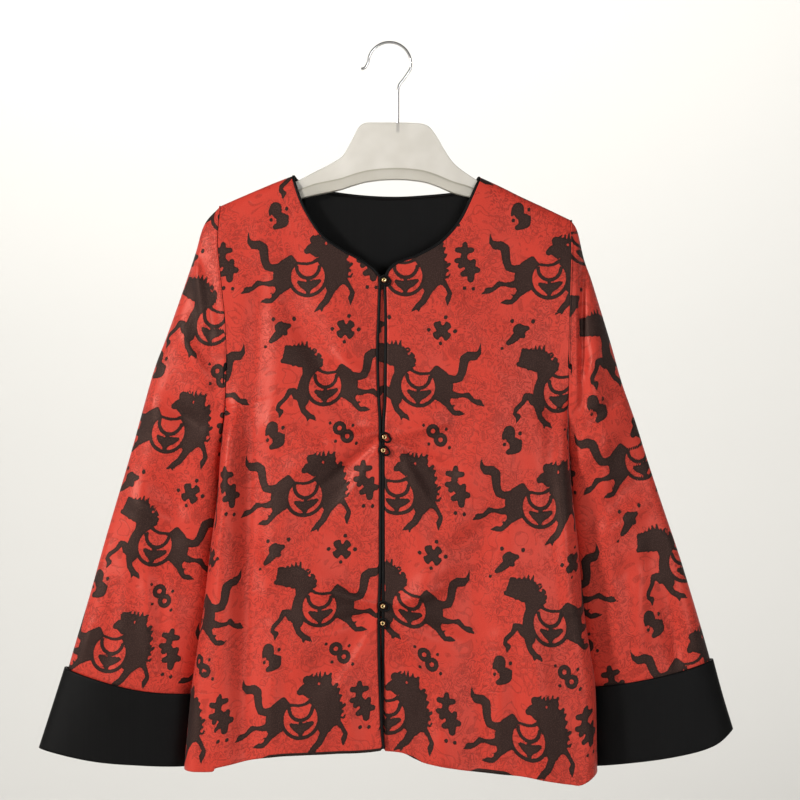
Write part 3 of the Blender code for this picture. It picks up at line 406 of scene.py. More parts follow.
def spline(points, shares):
    """Points at shares of the length of a smooth curve through the given points."""
    points = np.asarray(points, float)
    first = 2 * points[0] - points[1]
    last = 2 * points[-1] - points[-2]
    knots = np.vstack([first, points, last])
    fine = []
    for k in range(len(points) - 1):
        p0, p1, p2, p3 = knots[k:k + 4]
        t = np.linspace(0, 1, 24, endpoint=False)[:, None]
        fine.append(0.5 * (2 * p1 + (p2 - p0) * t + (2 * p0 - 5 * p1 + 4 * p2 - p3) * t ** 2
                           + (3 * p1 - p0 - 3 * p2 + p3) * t ** 3))
    fine = np.vstack(fine + [points[-1:]])
    along = np.concatenate([[0], np.cumsum(np.linalg.norm(np.diff(fine, axis=0), axis=1))])
    wanted = np.clip(np.asarray(shares, float), 0, 1) * along[-1]
    return np.stack([np.interp(wanted, along, fine[:, k]) for k in range(fine.shape[1])], axis=-1)


def column(table, value, index):
    """Smooth value of one column of a table at places given in its first column."""
    rows = np.array(sorted(table), float)
    x, y = rows[:, 0], rows[:, index]
    slope = np.diff(y) / np.diff(x)
    tangent = np.concatenate([slope[:1], (slope[:-1] + slope[1:]) / 2, slope[-1:]])
    k = np.clip(np.searchsorted(x, value) - 1, 0, len(x) - 2)
    wide = x[k + 1] - x[k]
    t = np.clip((value - x[k]) / wide, 0, 1)
    return (y[k] * (1 + 2 * t) * (1 - t) ** 2 + tangent[k] * wide * t * (1 - t) ** 2
            + y[k + 1] * t * t * (3 - 2 * t) + tangent[k + 1] * wide * t * t * (t - 1))


def heights():
    """Shares of a panel's height, with close rows over the roll of the shoulder."""
    last = 1 - SHOULDER_DROPS[0] / PANEL_HEIGHT
    low = np.linspace(0, V_ROW, round(V_ROW * PANEL_HEIGHT / STEP_Z), endpoint=False)
    high = np.linspace(V_ROW, last, round((last - V_ROW) * PANEL_HEIGHT / STEP_Z), endpoint=False)
    return np.concatenate([low, high, 1 - np.array(SHOULDER_DROPS) / PANEL_HEIGHT])


def smooth(value):
    value = np.clip(value, 0, 1)
    return value * value * (3 - 2 * value)


def rounded(share):
    """How far a tube has rounded out at a share of its width: 0 at both edges, 1 between."""
    return (4 * share * (1 - share)) ** ROUNDING


def folds(table, x, z):
    """Sum of the soft ridges and troughs of a table at points x, z."""
    total = np.zeros(np.shape(x))
    for x0, z0, x1, z1, half, rise in table:
        run = np.array([x1 - x0, z1 - z0], float)
        length = np.linalg.norm(run)
        share = ((x - x0) * run[0] + (z - z0) * run[1]) / length ** 2
        across = np.abs((x - x0) * run[1] - (z - z0) * run[0]) / length
        beyond = np.maximum(0, np.maximum(-share, share - 1)) * length
        ends = 0.55 + 0.45 * np.sin(math.pi * np.clip(share, 0, 1))
        total += rise * ends * np.exp(-(across ** 2 + beyond ** 2) / half ** 2)
    return total


def coons(left, right, bottom, top, u, v):
    """Sheet of (x, z) points inside four boundary lines, one row for each v."""
    u, v = u[None, :, None], v[:, None, None]
    ruled = (1 - u) * left[:, None] + u * right[:, None] + (1 - v) * bottom[None] + v * top[None]
    corners = ((1 - u) * (1 - v) * left[0] + u * (1 - v) * right[0]
               + (1 - u) * v * left[-1] + u * v * right[-1])
    return ruled - corners


def inward(line, side, distance):
    """A line of (x, z) points moved sideways, to its left for side 1 and its right for side -1."""
    run = np.gradient(line, axis=0)
    run /= np.linalg.norm(run, axis=1)[:, None]
    return line + side * distance * np.stack([-run[:, 1], run[:, 0]], axis=-1)


def two_lines(low, high, join, v):
    """Points along two lines that meet at the share join."""
    return np.where((v <= join)[:, None], spline(low, v / join), spline(high, (v - join) / (1 - join)))


def side_line(side, v):
    """Side seam and armhole of one side of the body, as (x, z) points."""
    return two_lines(SIDE[side], ARMHOLE[side], UNDERARM_ROW, v)


def edge_line(side, v):
    """Middle of the binding of one front: up the front edge and round the neck."""
    return two_lines(EDGE[side], NECK[side], V_ROW, v)


def side_depth(side, z, face):
    """Depth of a panel's side edge: the seam below the underarm, and the armhole's loop above it."""
    (_, foot), (_, top) = ARMHOLE[side][0], ARMHOLE[side][-1]
    up = np.clip((z - foot) / (top - foot), 0, 1)
    least = np.where(up > 0.5, SEAM_GAP, SEAM_GAP / 2)
    return column(SIDE_Y, z, 1) + face * np.maximum(ARMHOLE_DEPTH[face] * rounded(up), least)


def slip(side, x, z):
    """How far the left front's edge lies back near the hem, under the right front's."""
    if side < 0:
        return np.zeros(np.shape(x))
    depth, start, height, reach, deepest = SLIP
    return depth * smooth((start - z) / height) * np.exp(-((x - deepest) / reach) ** 2)


def ripple(x, z, height):
    """Low uneven waves of a satin that hangs free, in mm."""
    return height * (np.sin(x / 11.3 + 1.3 * np.sin(z / 47.0)) * np.sin(z / 61.0 + x / 83.0 + 0.7)
                     + 0.6 * np.sin(x / 23.9 - z / 71.0 + 1.9) + 0.35 * np.sin(x / 7.9 + z / 38.0))


def rise(name, x, z, wave=WAVE):
    """Rise of a panel's cloth at points x, z: its folds, its looser creases and low waves."""
    return folds(FOLDS[name], x, z) + folds(CREASES[name], x, z) + ripple(x, z, wave)


def panel(name, sheet, v, level, edge, from_side, face):
    """Points of a body panel with their depth: rolled over at the side, with its folds.

    level is where each column's drop starts, edge the depth of the side and face -1 in front.
    """
    x, z = sheet[..., 0], sheet[..., 1]
    drop = np.maximum(0, level[None, :] - z)
    full = face * column(DEPTH, drop, 1 if face < 0 else 2)
    round_edge = np.sqrt(1 - (1 - np.clip(from_side / SIDE_ROLL, 0, 1)) ** 2)
    above_arm = smooth((v - UNDERARM_ROW) / UNDERARM_SOFT + 0.5)[:, None]
    roll = round_edge + (smooth(from_side / ARMHOLE_ROLL) - round_edge) * above_arm
    y = edge + (full - edge) * roll + face * rise(name, x, z) * roll * smooth(drop / FOLD_DROP)
    return np.stack([x, y, z], axis=-1)


def closing_depth(side, x, z):
    """Outer face of a front near the closing, where no side edge bends it."""
    drop = SHOULDER[side][-1][1] - z
    return -column(DEPTH, drop, 1) - rise("front_" + WORDS[side], x, z) + slip(side, x, z)


def side_roll(width):
    """Shares of a panel's width for the columns that round its side."""
    return SIDE_ROLL * (1 - np.cos(np.radians(ROLL_ANGLES))) / width


def front_columns():
    roll = side_roll(FRONT_WIDTH)
    return np.concatenate([roll, np.linspace(roll[-1], 1, round(FRONT_WIDTH / STEP_X))[1:]])


def back_columns():
    roll = side_roll(BACK_WIDTH)
    to_neck = np.linspace(roll[-1], NECK_SHARE, round(NECK_SHARE * BACK_WIDTH / BACK_STEP) + 1)[1:]
    neck = np.linspace(NECK_SHARE, 0.5, round((0.5 - NECK_SHARE) * BACK_WIDTH / BACK_STEP) + 1)[1:-1]
    half = np.concatenate([roll, to_neck, neck])
    return np.concatenate([half, [0.5], 1 - half[::-1]])


def front_sheet(side):
    """Outer face of one front, as rows of points from its side to its bound edge."""
    u, v = front_columns(), heights()
    left = side_line(side, v)
    right = inward(edge_line(side, v), -side, PIPE_OFF)
    bottom, top = spline(HEM[side], u), spline(SHOULDER[side], u)
    bottom[-1], top[-1] = right[0], right[-1]
    sheet = coons(left, right, bottom, top, u, v)
    edge = side_depth(side, left[:, 1], -1)[:, None]
    from_side = np.abs(sheet[..., 0] - left[:, None, 0])
    points = panel("front_" + WORDS[side], sheet, v, top[:, 1], edge, from_side, -1)
    points[..., 1] += slip(side, points[..., 0], points[..., 2])
    return points


def in_neck(u):
    """Which columns of the back end in its neckline."""
    return (u > NECK_SHARE + 0.001) & (u < 1 - NECK_SHARE - 0.001)


def back_top(u):
    """Top line of the back: shoulder, neck and shoulder, and the level that each drop starts from."""
    a, b = NECK_SHARE, 1 - NECK_SHARE
    first = spline(SHOULDER[-1], u / a)
    second = spline(NECK_BACK, (u - a) / (b - a))
    third = spline(SHOULDER[1], (1 - u) / a)
    line = np.where((u < a)[:, None], first, np.where((u > b)[:, None], third, second))
    level = np.interp(u, [a, b], [NECK_BACK[0][1], NECK_BACK[-1][1]])
    level = np.where((u < a) | (u > b), line[:, 1], level)
    return np.where(in_neck(u)[:, None], inward(line, -1, PIPE_OFF), line), level


def back_sheet():
    """Outer face of the back, as rows of points from the right side to the left."""
    u, v = back_columns(), heights()
    left, right = side_line(-1, v), side_line(1, v)
    top, level = back_top(u)
    sheet = coons(left, right, spline(HEM_BACK, u), top, u, v)
    edge = np.where((u < 0.5)[None, :], side_depth(-1, left[:, 1], 1)[:, None],
                    side_depth(1, right[:, 1], 1)[:, None])
    x = sheet[..., 0]
    from_side = np.minimum(np.abs(x - left[:, None, 0]), np.abs(x - right[:, None, 0]))
    return panel("back", sheet, v, level, edge, from_side, 1)


def tube(side, outer, top, end, tuck, rows):
    """Flat outline of a sleeve or cuff filled with rings of (x, z) points, and the rings' parts.

    outer is its outer edge, top and end are its two openings from there, and tuck is how far its
    inner edge lies behind the body's side. The parts are each column's share of the width, its
    face, -1 in front, and each row's share of the length.
    """
    turn = np.linspace(math.pi, 3 * math.pi, RING, endpoint=False) % (2 * math.pi)
    share = (1 - np.cos(turn)) / 2
    v = np.linspace(0, 1, rows)
    z = top[-1][1] + (end[-1][1] - top[-1][1]) * v
    seam = np.array(SIDE[side], float)
    inner = np.stack([np.interp(z, seam[:, 1], seam[:, 0]) - side * column(tuck, z, 1), z], axis=-1)
    outer = spline(outer, v)
    close = spline([*end[:-1], inner[-1]], share)
    if len(top) == 1:
        opening = side_line(side, 1 - share * (1 - UNDERARM_ROW))
        opening[:, 0] += side * ARMHOLE_GAP
        outer[0], inner[0] = opening[np.argmin(share)], opening[np.argmax(share)]
    else:
        opening = spline([*top[:-1], inner[0]], share)
    sheet = coons(outer[::-1], inner[::-1], close, opening, share, v)[::-1]
    return sheet[..., 0], sheet[..., 1], share, np.where(turn < math.pi, -1, 1), v


def sleeve_sheet(side):
    """Outer face of one sleeve: rings of points, from the armhole to the end inside the cuff."""
    underarm = SIDE[side][-1:]
    x, z, share, face, v = tube(side, SLEEVE_OUT[side], underarm, SLEEVE_END[side], SLEEVE_TUCK,
                                SLEEVE_ROWS)
    middle, half = (column(SLEEVE_SECTION, v, k)[:, None] for k in (1, 2))
    start = np.where(face < 0, ARMHOLE_DEPTH[-1], ARMHOLE_DEPTH[1])[None, :]
    near = smooth(1 - v / ARMHOLE_SHARE)[:, None]
    half = half * (1 - near) + start * near
    middle = middle + near * column(SIDE_Y, z, 1)
    name = "sleeve_" + WORDS[side]
    low = np.where(face < 0, rise(name, x, z, SLEEVE_WAVE),
                   BACK_FOLD_SHARE * rise(name, x, z + BACK_FOLD_DROP, SLEEVE_WAVE))
    begun, last, fading = SLEEVE_CALM
    calm = smooth(v / begun) * smooth((last - v) / fading)
    y = middle + face * rounded(share) * (half + low * calm[:, None])
    rings = np.stack([x, y, z], axis=-1)
    stand = rings[:1] + [side * ARMHOLE_STAND, 0, 0]
    return np.concatenate([rings[:1], stand, rings[1:]])


def cuff_sheet(side):
    """Outer face of one turned back cuff: rings of points down its height."""
    x, z, share, face, _ = tube(side, CUFF_OUT[side], CUFF_TOP[side], CUFF_END[side], CUFF_TUCK, CUFF_ROWS)
    waves = ripple(x * 0.6 + 40, z * 0.6, WAVE) * rounded(share)
    y = CUFF_MIDDLE_Y + face * (CUFF_HALF_DEPTH * rounded(share) + waves)
    return np.stack([x, y, z], axis=-1)


def lining_sheet():
    """Lining inside the back, from the neck down, made from the back's own points."""
    u, v = back_columns(), heights()
    share = (u - NECK_SHARE) / (1 - 2 * NECK_SHARE)
    within = (share > LINING_FREE) & (share < 1 - LINING_FREE)
    part = back_sheet()[(v >= LINING_FOOT) & (v < LINING_TOP)][:, within]
    part[..., 1] -= CLOTH + 2 * CLEAR
    return part


def underlap_sheet():
    """Strip behind the closing, made from the two fronts' depth there, moved back."""
    x0, x1, top, foot = UNDERLAP
    level = front_sheet(1)[:, -1, 2]
    level = level[(level > foot) & (level < top)]
    x, z = np.meshgrid(np.linspace(x0, x1, UNDERLAP_COLUMNS), [foot, *level, top])
    y = np.maximum(closing_depth(-1, x, z), closing_depth(1, x, z)) + UNDERLAP_BACK
    return np.stack([x, y, z], axis=-1)


def beside(edge, within):
    """Middle of a binding along a panel's edge: outside the edge and half a wall deep.

    The second line of points lies further inside the panel and gives its plane.
    """
    run = np.gradient(edge, axis=0)
    run /= np.linalg.norm(run, axis=1)[:, None]
    out = edge - within
    out -= (out * run).sum(axis=1)[:, None] * run
    out /= np.linalg.norm(out, axis=1)[:, None]
    deep = np.cross(run, out)
    deep *= -np.sign(deep[:, 1] * edge[:, 1])[:, None]
    return edge + out * PIPE_OFF + deep * CLOTH / 2


def limbs(x, y, rows):
    """Distance to the nearest of a table's limbs, less than 0 inside. One point is a dot."""
    best = np.full(np.shape(x), FAR)
    for row in rows:
        points = np.reshape(row, (-1, 3)).tolist()
        for (x0, y0, r0), (x1, y1, r1) in zip(points, points[1:] or points):
            run = max((x1 - x0) ** 2 + (y1 - y0) ** 2, 1e-6)
            share = np.clip(((x - x0) * (x1 - x0) + (y - y0) * (y1 - y0)) / run, 0, 1)
            reach = np.hypot(x - x0 - share * (x1 - x0), y - y0 - share * (y1 - y0))
            best = np.minimum(best, reach - r0 - share * (r1 - r0))
    return best


def circle(x, y, radius, half):
    """Distance to a ring round the middle, half a stroke wide."""
    return np.abs(np.hypot(x, y) - radius) - half


def horse(x, y, way):
    """A running horse round the ring on its flank. way is 1 for one that runs right and looks back."""
    rear = limbs(way * x, y, HORSE_REAR)
    fore = limbs(x, y, LOOKING_BACK if way > 0 else LOOKING_AHEAD)
    body = np.maximum(np.minimum(rear, fore), FLANK - np.hypot(x, y))
    height, radius, half = BOW
    seat = np.where(y < height, circle(x, y - height, radius, half),
                    np.hypot(np.abs(x) - radius, y - height) - half)
    saddle = np.minimum(limbs(way * x, y, HORSE_SADDLE), seat)
    height, radius, half = GIRTH
    belly = np.where(y < height, circle(x, y, radius, half), FAR)
    found = np.minimum.reduce([body, saddle, belly, limbs(x, y, SADDLE_CLOTH)])
    if way > 0:
        eye_x, eye_y, radius, stretch = EYE_BACK
        return np.maximum(found, radius - np.hypot((x - eye_x) * stretch, y - eye_y))
    eye_x, eye_y, radius, half = EYE_AHEAD
    return np.minimum(found, circle(x - eye_x, y - eye_y, radius, half))


def treasure(x, y, name):
    """One of the small figures between the horses. The coins are two rings."""
    found = limbs(x, y, TREASURES[name])
    if name == "coins":
        apart, radius, half = COINS
        for step in (-apart, apart):
            found = np.minimum(found, circle(x - step, y + step, radius, half))
    return found


def woven(s, t):
    """Distance to the nearest woven figure at places on the flat cloth, less than 0 inside."""
    nearest = np.full(np.shape(s), FAR)
    for name, x0, z0 in FIGURES:
        x = (s - x0 + REPEAT_X / 2) % REPEAT_X - REPEAT_X / 2
        y = (t - z0 + REPEAT_Z / 2) % REPEAT_Z - REPEAT_Z / 2
        if name in TREASURES:
            found = treasure(x, y, name)
        else:
            found = horse(x, y, 1 if name == "looking back" else -1)
        nearest = np.minimum(nearest, found)
    return nearest


def across(sheet, lean, still):
    """Place of each point across the flat cloth: its way along the row, true in one column."""
    step = np.diff(sheet, axis=1)
    level = step[..., 0] * math.cos(lean) - step[..., 2] * math.sin(lean)
    way = np.sign(level[:, still - 1].mean())
    bent = np.hypot(level, step[..., 1]) - np.abs(level)
    padded = np.cumsum(np.pad(bent, ((EASED_ROWS + 1, EASED_ROWS), (0, 0)), mode="edge"), axis=0)
    bent = (padded[2 * EASED_ROWS + 1:] - padded[:-2 * EASED_ROWS - 1]) / (2 * EASED_ROWS + 1)
    length = np.abs(level) + bent
    run = np.concatenate([np.zeros((len(sheet), 1)), np.cumsum(length, axis=1)], axis=1)
    true = sheet[:, still, 0] * math.cos(lean) - sheet[:, still, 2] * math.sin(lean)
    return true[:, None] + way * (run - run[:, still:still + 1])


def flat_place(sheet, grain, still=None, turned=1.0, dip=0.0):
    """Places of a sheet's points on the flat cloth, from one horse of the pattern, in mm.

    dip is how much lower the cloth hangs there than at its closing.
    """
    lean, tilt, wide, long, x0, z0 = grain
    lean, tilt = math.radians(lean), math.radians(tilt)
    still = sheet.shape[1] // 2 if still is None else still
    s = across(sheet, lean, still) - x0 * math.cos(lean) + z0 * math.sin(lean)
    t = (sheet[..., 0] - x0) * math.sin(tilt) + (sheet[..., 2] - z0) * math.cos(tilt)
    return turned * wide * s, long * t + dip


def grid_faces(rows, columns, ring, flip):
    """Quads over a grid of points, as an array. A ring joins its last column to its first."""
    r, c = np.meshgrid(np.arange(rows - 1), np.arange(columns if ring else columns - 1), indexing="ij")
    near, far = c, (c + 1) % columns
    quads = np.stack([r * columns + near, r * columns + far,
                      (r + 1) * columns + far, (r + 1) * columns + near], axis=-1).reshape(-1, 4)
    return quads[:, ::-1] if flip else quads


def corner_values(values, ring, flip):
    """Values of a grid, one column wider for a ring, at the corners of its quads."""
    near, far = values[:, :-1], values[:, 1:]
    quads = np.stack([near[:-1], far[:-1], far[1:], near[1:]], axis=-1).reshape(-1, 4)
    return (quads[:, ::-1] if flip else quads).reshape(-1)


def link(name, data):
    """A new object in the scene."""
    piece = bpy.data.objects.new(name, data)
    bpy.context.collection.objects.link(piece)
    return piece


def grid_mesh(name, sheet, faces):
    mesh = bpy.data.meshes.new(name)
    mesh.from_pydata((sheet.reshape(-1, 3) * MM).tolist(), [], faces)
    return mesh


def write_attribute(mesh, title, domain, values):
    """Named numbers at a mesh's points or corners, which a look reads."""
    mark = mesh.attributes.new(title, "FLOAT", domain)
    mark.data.foreach_set("value", values)


def choose(piece):
    """Selects this piece alone and makes it the active one."""
    bpy.ops.object.select_all(action="DESELECT")
    piece.select_set(True)
    bpy.context.view_layer.objects.active = piece


def apply_modifiers(piece):
    choose(piece)
    for modifier in list(piece.modifiers):
        bpy.ops.object.modifier_apply(modifier=modifier.name)


def rounded_off(piece, levels):
    """Adds a subdivision surface and applies all of a piece's modifiers."""
    round_off = piece.modifiers.new("round", "SUBSURF")
    round_off.levels = round_off.render_levels = levels
    apply_modifiers(piece)


def cloth(name, sheet, wall, looks, flat=None, ring=False, flip=False, marks=None):
    """A thin shell of cloth. The sheet is its outer face, looks are its outside, inside and edge.

    flat is the places of its points on the flat cloth, and marks are named values of its points
    for the looks.
    """
    rows, columns = sheet.shape[:2]
    mesh = grid_mesh(name, sheet, grid_faces(rows, columns, ring, flip).tolist())
    mesh.shade_smooth()
    if flat is not None:
        places = np.stack([corner_values(way, ring, flip) for way in flat], axis=-1)
        mesh.uv_layers.new(name="cloth").uv.foreach_set("vector", (places * MM).reshape(-1))
        marks = {"figure": woven(*flat), **(marks or {})}
    for title, values in (marks or {}).items():
        write_attribute(mesh, title, "CORNER", corner_values(values, ring, flip))
    piece = link(name, mesh)
    for look in looks:
        mesh.materials.append(look)
    thick = piece.modifiers.new("wall", "SOLIDIFY")
    thick.thickness = wall * MM
    thick.offset = -1
    thick.material_offset = 1
    thick.material_offset_rim = len(looks) - 1
    apply_modifiers(piece)
    return piece


def cord(name, points, radius, look, closed=False):
    """A round cord or wire along points, as a mesh with flat ends."""
    curve = bpy.data.curves.new(name, "CURVE")
    curve.dimensions = "3D"
    curve.bevel_depth = radius * MM
    curve.bevel_resolution = 6
    curve.use_fill_caps = True
    line = curve.splines.new("POLY")
    line.points.add(len(points) - 1)
    for point, place in zip(line.points, points):
        point.co = (*(np.asarray(place, float) * MM), 1)
    line.use_cyclic_u = closed
    choose(link(name, curve))
    bpy.ops.object.convert(target="MESH")
    made = bpy.context.object
    bpy.ops.object.transform_apply(location=True, rotation=True, scale=True)
    made.data.materials.clear()
    made.data.materials.append(look)
    made.data.shade_smooth()
    return made


def put_on(piece, slot, *nodes):
    """The piece rides on the garment's one body and stands for CAD nodes, which it hides. Its slot is not
    used.
    """
    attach(piece, "root")
    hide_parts(*nodes)
    return piece


class Value:
    """A node's output, so that shader maths can be written as Python."""

    def __init__(self, look, socket):
        self.look = look
        self.socket = socket

    def maths(self, operation, *others):
        values = dict(enumerate((self, *others)))
        return self.look.node("Math", {"operation": operation}, values)

    def __add__(self, other):
        return self.maths("ADD", other)

    def __sub__(self, other):
        return self.maths("SUBTRACT", other)

    def __mul__(self, other):
        return self.maths("MULTIPLY", other)

    def __rsub__(self, other):
        return self.look.node("Math", {"operation": "SUBTRACT"}, {0: other, 1: self})

    __radd__ = __add__
    __rmul__ = __mul__

    def rise(self, low, high):
        """0 below low and 1 above high, with a soft step between."""
        settings = {"interpolation_type": "SMOOTHSTEP"}
        return self.look.node("MapRange", settings, {"Value": self, "From Min": low, "From Max": high})


class Look:
    """A material. Its surface is one Principled BSDF, and node() makes every other node."""

    def __init__(self, name, **fixed):
        self.material = bpy.data.materials.new(name)
        self.material.use_nodes = True
        self.tree = self.material.node_tree
        self.surface = self.tree.nodes["Principled BSDF"]
        for socket, value in fixed.items():
            self.set(socket.replace("_", " ").title().replace("Ior", "IOR"), value)

    def feed(self, socket, value):
        if isinstance(value, Value):
            self.tree.links.new(value.socket, socket)
        else:
            socket.default_value = value

    def set(self, socket, value):
        self.feed(self.surface.inputs[socket], value)

    def node(self, kind, settings=None, sockets=None, output=0):
        made = self.tree.nodes.new("ShaderNode" + kind)
        for name, value in (settings or {}).items():
            setattr(made, name, value)
        for key, value in (sockets or {}).items():
            self.feed(made.inputs[key], value)
        return Value(self, made.outputs[output])

    def place(self):
        return self.node("TexCoord", output="Object")

    def mark(self, title):
        """Numbers written on the mesh."""
        return self.node("Attribute", {"attribute_name": title}, output="Fac")

    def blend(self, share, first, second):
        return self.node("Mix", {"data_type": "RGBA"}, {0: share, 6: first, 7: second}, 2)

    def noise(self, place, scale, detail=2.0, distortion=0.0):
        return self.node("TexNoise", None, {"Vector": place, "Scale": scale, "Detail": detail,
                                            "Distortion": distortion})

    def stretched(self, place, across, along):
        """Places scaled unevenly, so that a texture on them is drawn out."""
        return self.node("Mapping", None, {"Vector": place, "Scale": (across, along, 1)})

    def finished(self, colour, roughness, height, depth):
        """The material, with its surface raised by a height from 0 to 1 that is depth metres deep."""
        self.set("Base Color", colour)
        self.set("Roughness", roughness)
        self.set("Normal", self.node("Bump", None, {"Strength": 1.0, "Distance": depth, "Height": height}))
        return self.material


def brocade_look():
    """Red satin brocade with curled damask lines in the ground and dark woven figures."""
    look = Look("red_brocade", roughness=0.4, sheen_weight=0.08, sheen_roughness=0.4,
                specular_tint=(1.0, 0.62, 0.52, 1), specular_ior_level=0.42)
    place = look.node("UVMap", {"uv_map": "cloth"})
    across = look.node("SeparateXYZ", None, {0: place})
    picks = look.noise(place, 900, 1.0)
    ragged = look.mark("figure") + (picks - 0.5) * 1.3
    inside = 1 - ragged.rise(-0.3, 0.3)
    rim = inside * ragged.rise(-1.9, -1.0)
    warp = look.noise(look.stretched(place, 1500, 120), 1.0, 2.0)
    patches = look.noise(place, 17, 1.0).rise(0.38, 0.5)
    curls = (look.noise(place, 95, 1.0, 1.4) * 34).maths("SINE").rise(0.1, 0.75) * patches
    flowers = (look.noise(place, 36, 1.5, 1.6) * 24).maths("SINE").rise(0.7, 0.98)
    twill = (across * 5600).maths("SINE")
    worn = look.noise(place, 14, 3.0)
    ground = look.blend(curls, (0.58, 0.040, 0.025, 1), (0.27, 0.016, 0.011, 1))
    ground = look.blend(flowers * 0.7, ground, (0.28, 0.017, 0.011, 1))
    ground = look.blend(warp.rise(0.35, 0.7) * 0.35, ground, (0.65, 0.058, 0.037, 1))
    ground = look.blend(worn.rise(0.35, 0.75) * 0.25, ground, (0.61, 0.051, 0.032, 1))
    ground = look.blend(picks.rise(0.42, 0.62) * 0.3, ground, (0.70, 0.069, 0.046, 1))
    yarn = look.blend(twill.rise(-0.6, 0.8) * 0.6, (0.010, 0.0062, 0.006, 1), (0.028, 0.0125, 0.0105, 1))
    yarn = look.blend(picks.rise(0.5, 0.66) * 0.55, yarn, (0.062, 0.033, 0.028, 1))
    yarn = look.blend(rim * 0.75, yarn, (0.0055, 0.0045, 0.0045, 1))
    # Dark band along a front's hem: the lining's edge, and painted shadow under the hem.
    hem_lining_and_shadow = look.mark("lining and shadow show").rise(0.1, 0.9)
    return look.finished(look.blend(hem_lining_and_shadow, look.blend(inside, ground, yarn), (0.006, 0.005, 0.005, 1)),
                         0.38 + inside * 0.16 + curls * 0.07 + warp * 0.06,
                         inside * 0.5 - curls * 0.2 - flowers * 0.25 + warp * 0.22 + twill * 0.05, 0.00036)


def satin_look(name, grey, roughness):
    """Dull dark satin with a fine twill."""
    look = Look(name, roughness=roughness, specular_ior_level=0.12)
    place = look.place()
    weave = look.noise(look.stretched(place, 1600, 1), 1.0, 2.0)
    soft = look.noise(place, 22, 3.0)
    colour = look.blend(weave.rise(0.3, 0.7) * 0.6 + soft * 0.3, (grey, grey, grey * 1.03, 1),
                        (grey * 2.0, grey * 2.0, grey * 2.1, 1))
    return look.finished(colour, roughness - 0.05 + soft * 0.12,
                         weave * 0.6 + look.noise(place, 2600, 1.0) * 0.4, 0.00012)


def inside_look():
    """The body's inner face: dark lining, with the brocade turned up along the hem and painted shadow along
    the turn-up's foot.
    """
    look = Look("lining_with_hem", roughness=0.5, specular_ior_level=0.12)
    place = look.place()
    height = look.mark("above hem")
    lined = height.rise(HEM_TURN - 0.6, HEM_TURN + 0.6)
    weave = look.noise(look.stretched(place, 1500, 1), 1.0, 2.0)
    curls = (look.noise(place, 105, 1.0, 1.2) * 34).maths("SINE").rise(0.1, 0.75)
    red = look.blend(curls * 0.5, (0.50, 0.042, 0.026, 1), (0.62, 0.075, 0.046, 1))
    dark = look.blend(weave.rise(0.3, 0.7), (0.004, 0.004, 0.0042, 1), (0.008, 0.008, 0.0083, 1))
    # The lowest 2 mm of the turn-up are painted dark, as shadow under the hem.
    turned = look.blend(height.rise(1.6, 2.4), dark, red)
    return look.finished(look.blend(lined, turned, dark), 0.42 + lined * 0.1,
                         (1 - lined) * 1.0 + weave * 0.15, 0.0006)


def gold_look():
    """Polished gold coloured metal with small casting marks."""
    look = Look("gold_bead", metallic=1.0, roughness=0.24)
    marks = look.noise(look.place(), 900, 3.0)
    return look.finished(look.blend(marks.rise(0.35, 0.7), (1.0, 0.82, 0.45, 1), (0.85, 0.60, 0.26, 1)),
                         0.18 + marks * 0.18, marks, 0.00012)


def plastic_look():
    """Frosted translucent plastic, with painted shade on its rim, and darker where the hook's shank stands
    in it.
    """
    look = Look("frosted_plastic", roughness=0.42, transmission_weight=0.3, ior=1.35)
    place = look.place()
    frost = look.noise(place, 1300, 2.0)
    x = look.node("SeparateXYZ", None, {0: place})
    z = Value(look, x.socket.node.outputs[2])
    shank = (1 - (x - SHANK_X * MM).maths("ABSOLUTE").rise(0.0008, 0.0026)) * z.rise(-0.1, -0.096)
    milky = look.blend(look.noise(place, 30, 2.0).rise(0.3, 0.7), (0.81, 0.78, 0.715, 1),
                       (0.90, 0.87, 0.81, 1))
    # Painted shade on the hanger's rim, and a painted shadow line at its step.
    milky = look.blend(look.mark("rim"), milky, (0.50, 0.47, 0.38, 1))
    return look.finished(look.blend(shank * 0.55, milky, (0.40, 0.39, 0.37, 1)), 0.38 + frost * 0.12,
                         frost, 0.00006)


def wire_look():
    """Bright plated wire, drawn and lightly rubbed."""
    look = Look("bright_wire", metallic=1.0, roughness=0.16)
    rubbed = look.noise(look.place(), 420, 4.0)
    return look.finished(look.blend(rubbed.rise(0.4, 0.75), (0.80, 0.80, 0.81, 1), (0.60, 0.60, 0.61, 1)),
                         0.10 + rubbed * 0.16, rubbed, 0.00003)


def stage_look():
    """Plain pale backdrop."""
    look = Look("backdrop", roughness=0.9)
    look.set("Base Color", (0.55, 0.545, 0.53, 1))
    return look.material


def hem_marks(sheet, side):
    """Height of each point above the hem, and how far below the top of the dark band at the hem it lies: the
    lining's edge with painted shadow.
    """
    x, above = sheet[..., 0], sheet[..., 2] - sheet[:1, :, 2]
    shown = np.zeros(above.shape)
    for where, first, last, reach in HEM_LINING_AND_SHADOW:
        if where == side:
            shown += reach * smooth((x - first) / HEM_LINING_AND_SHADOW_SOFT) * smooth((last - x) / HEM_LINING_AND_SHADOW_SOFT)
    return {"above hem": above, "lining and shadow show": np.where(shown > 0.2, shown - above, -1.0)}


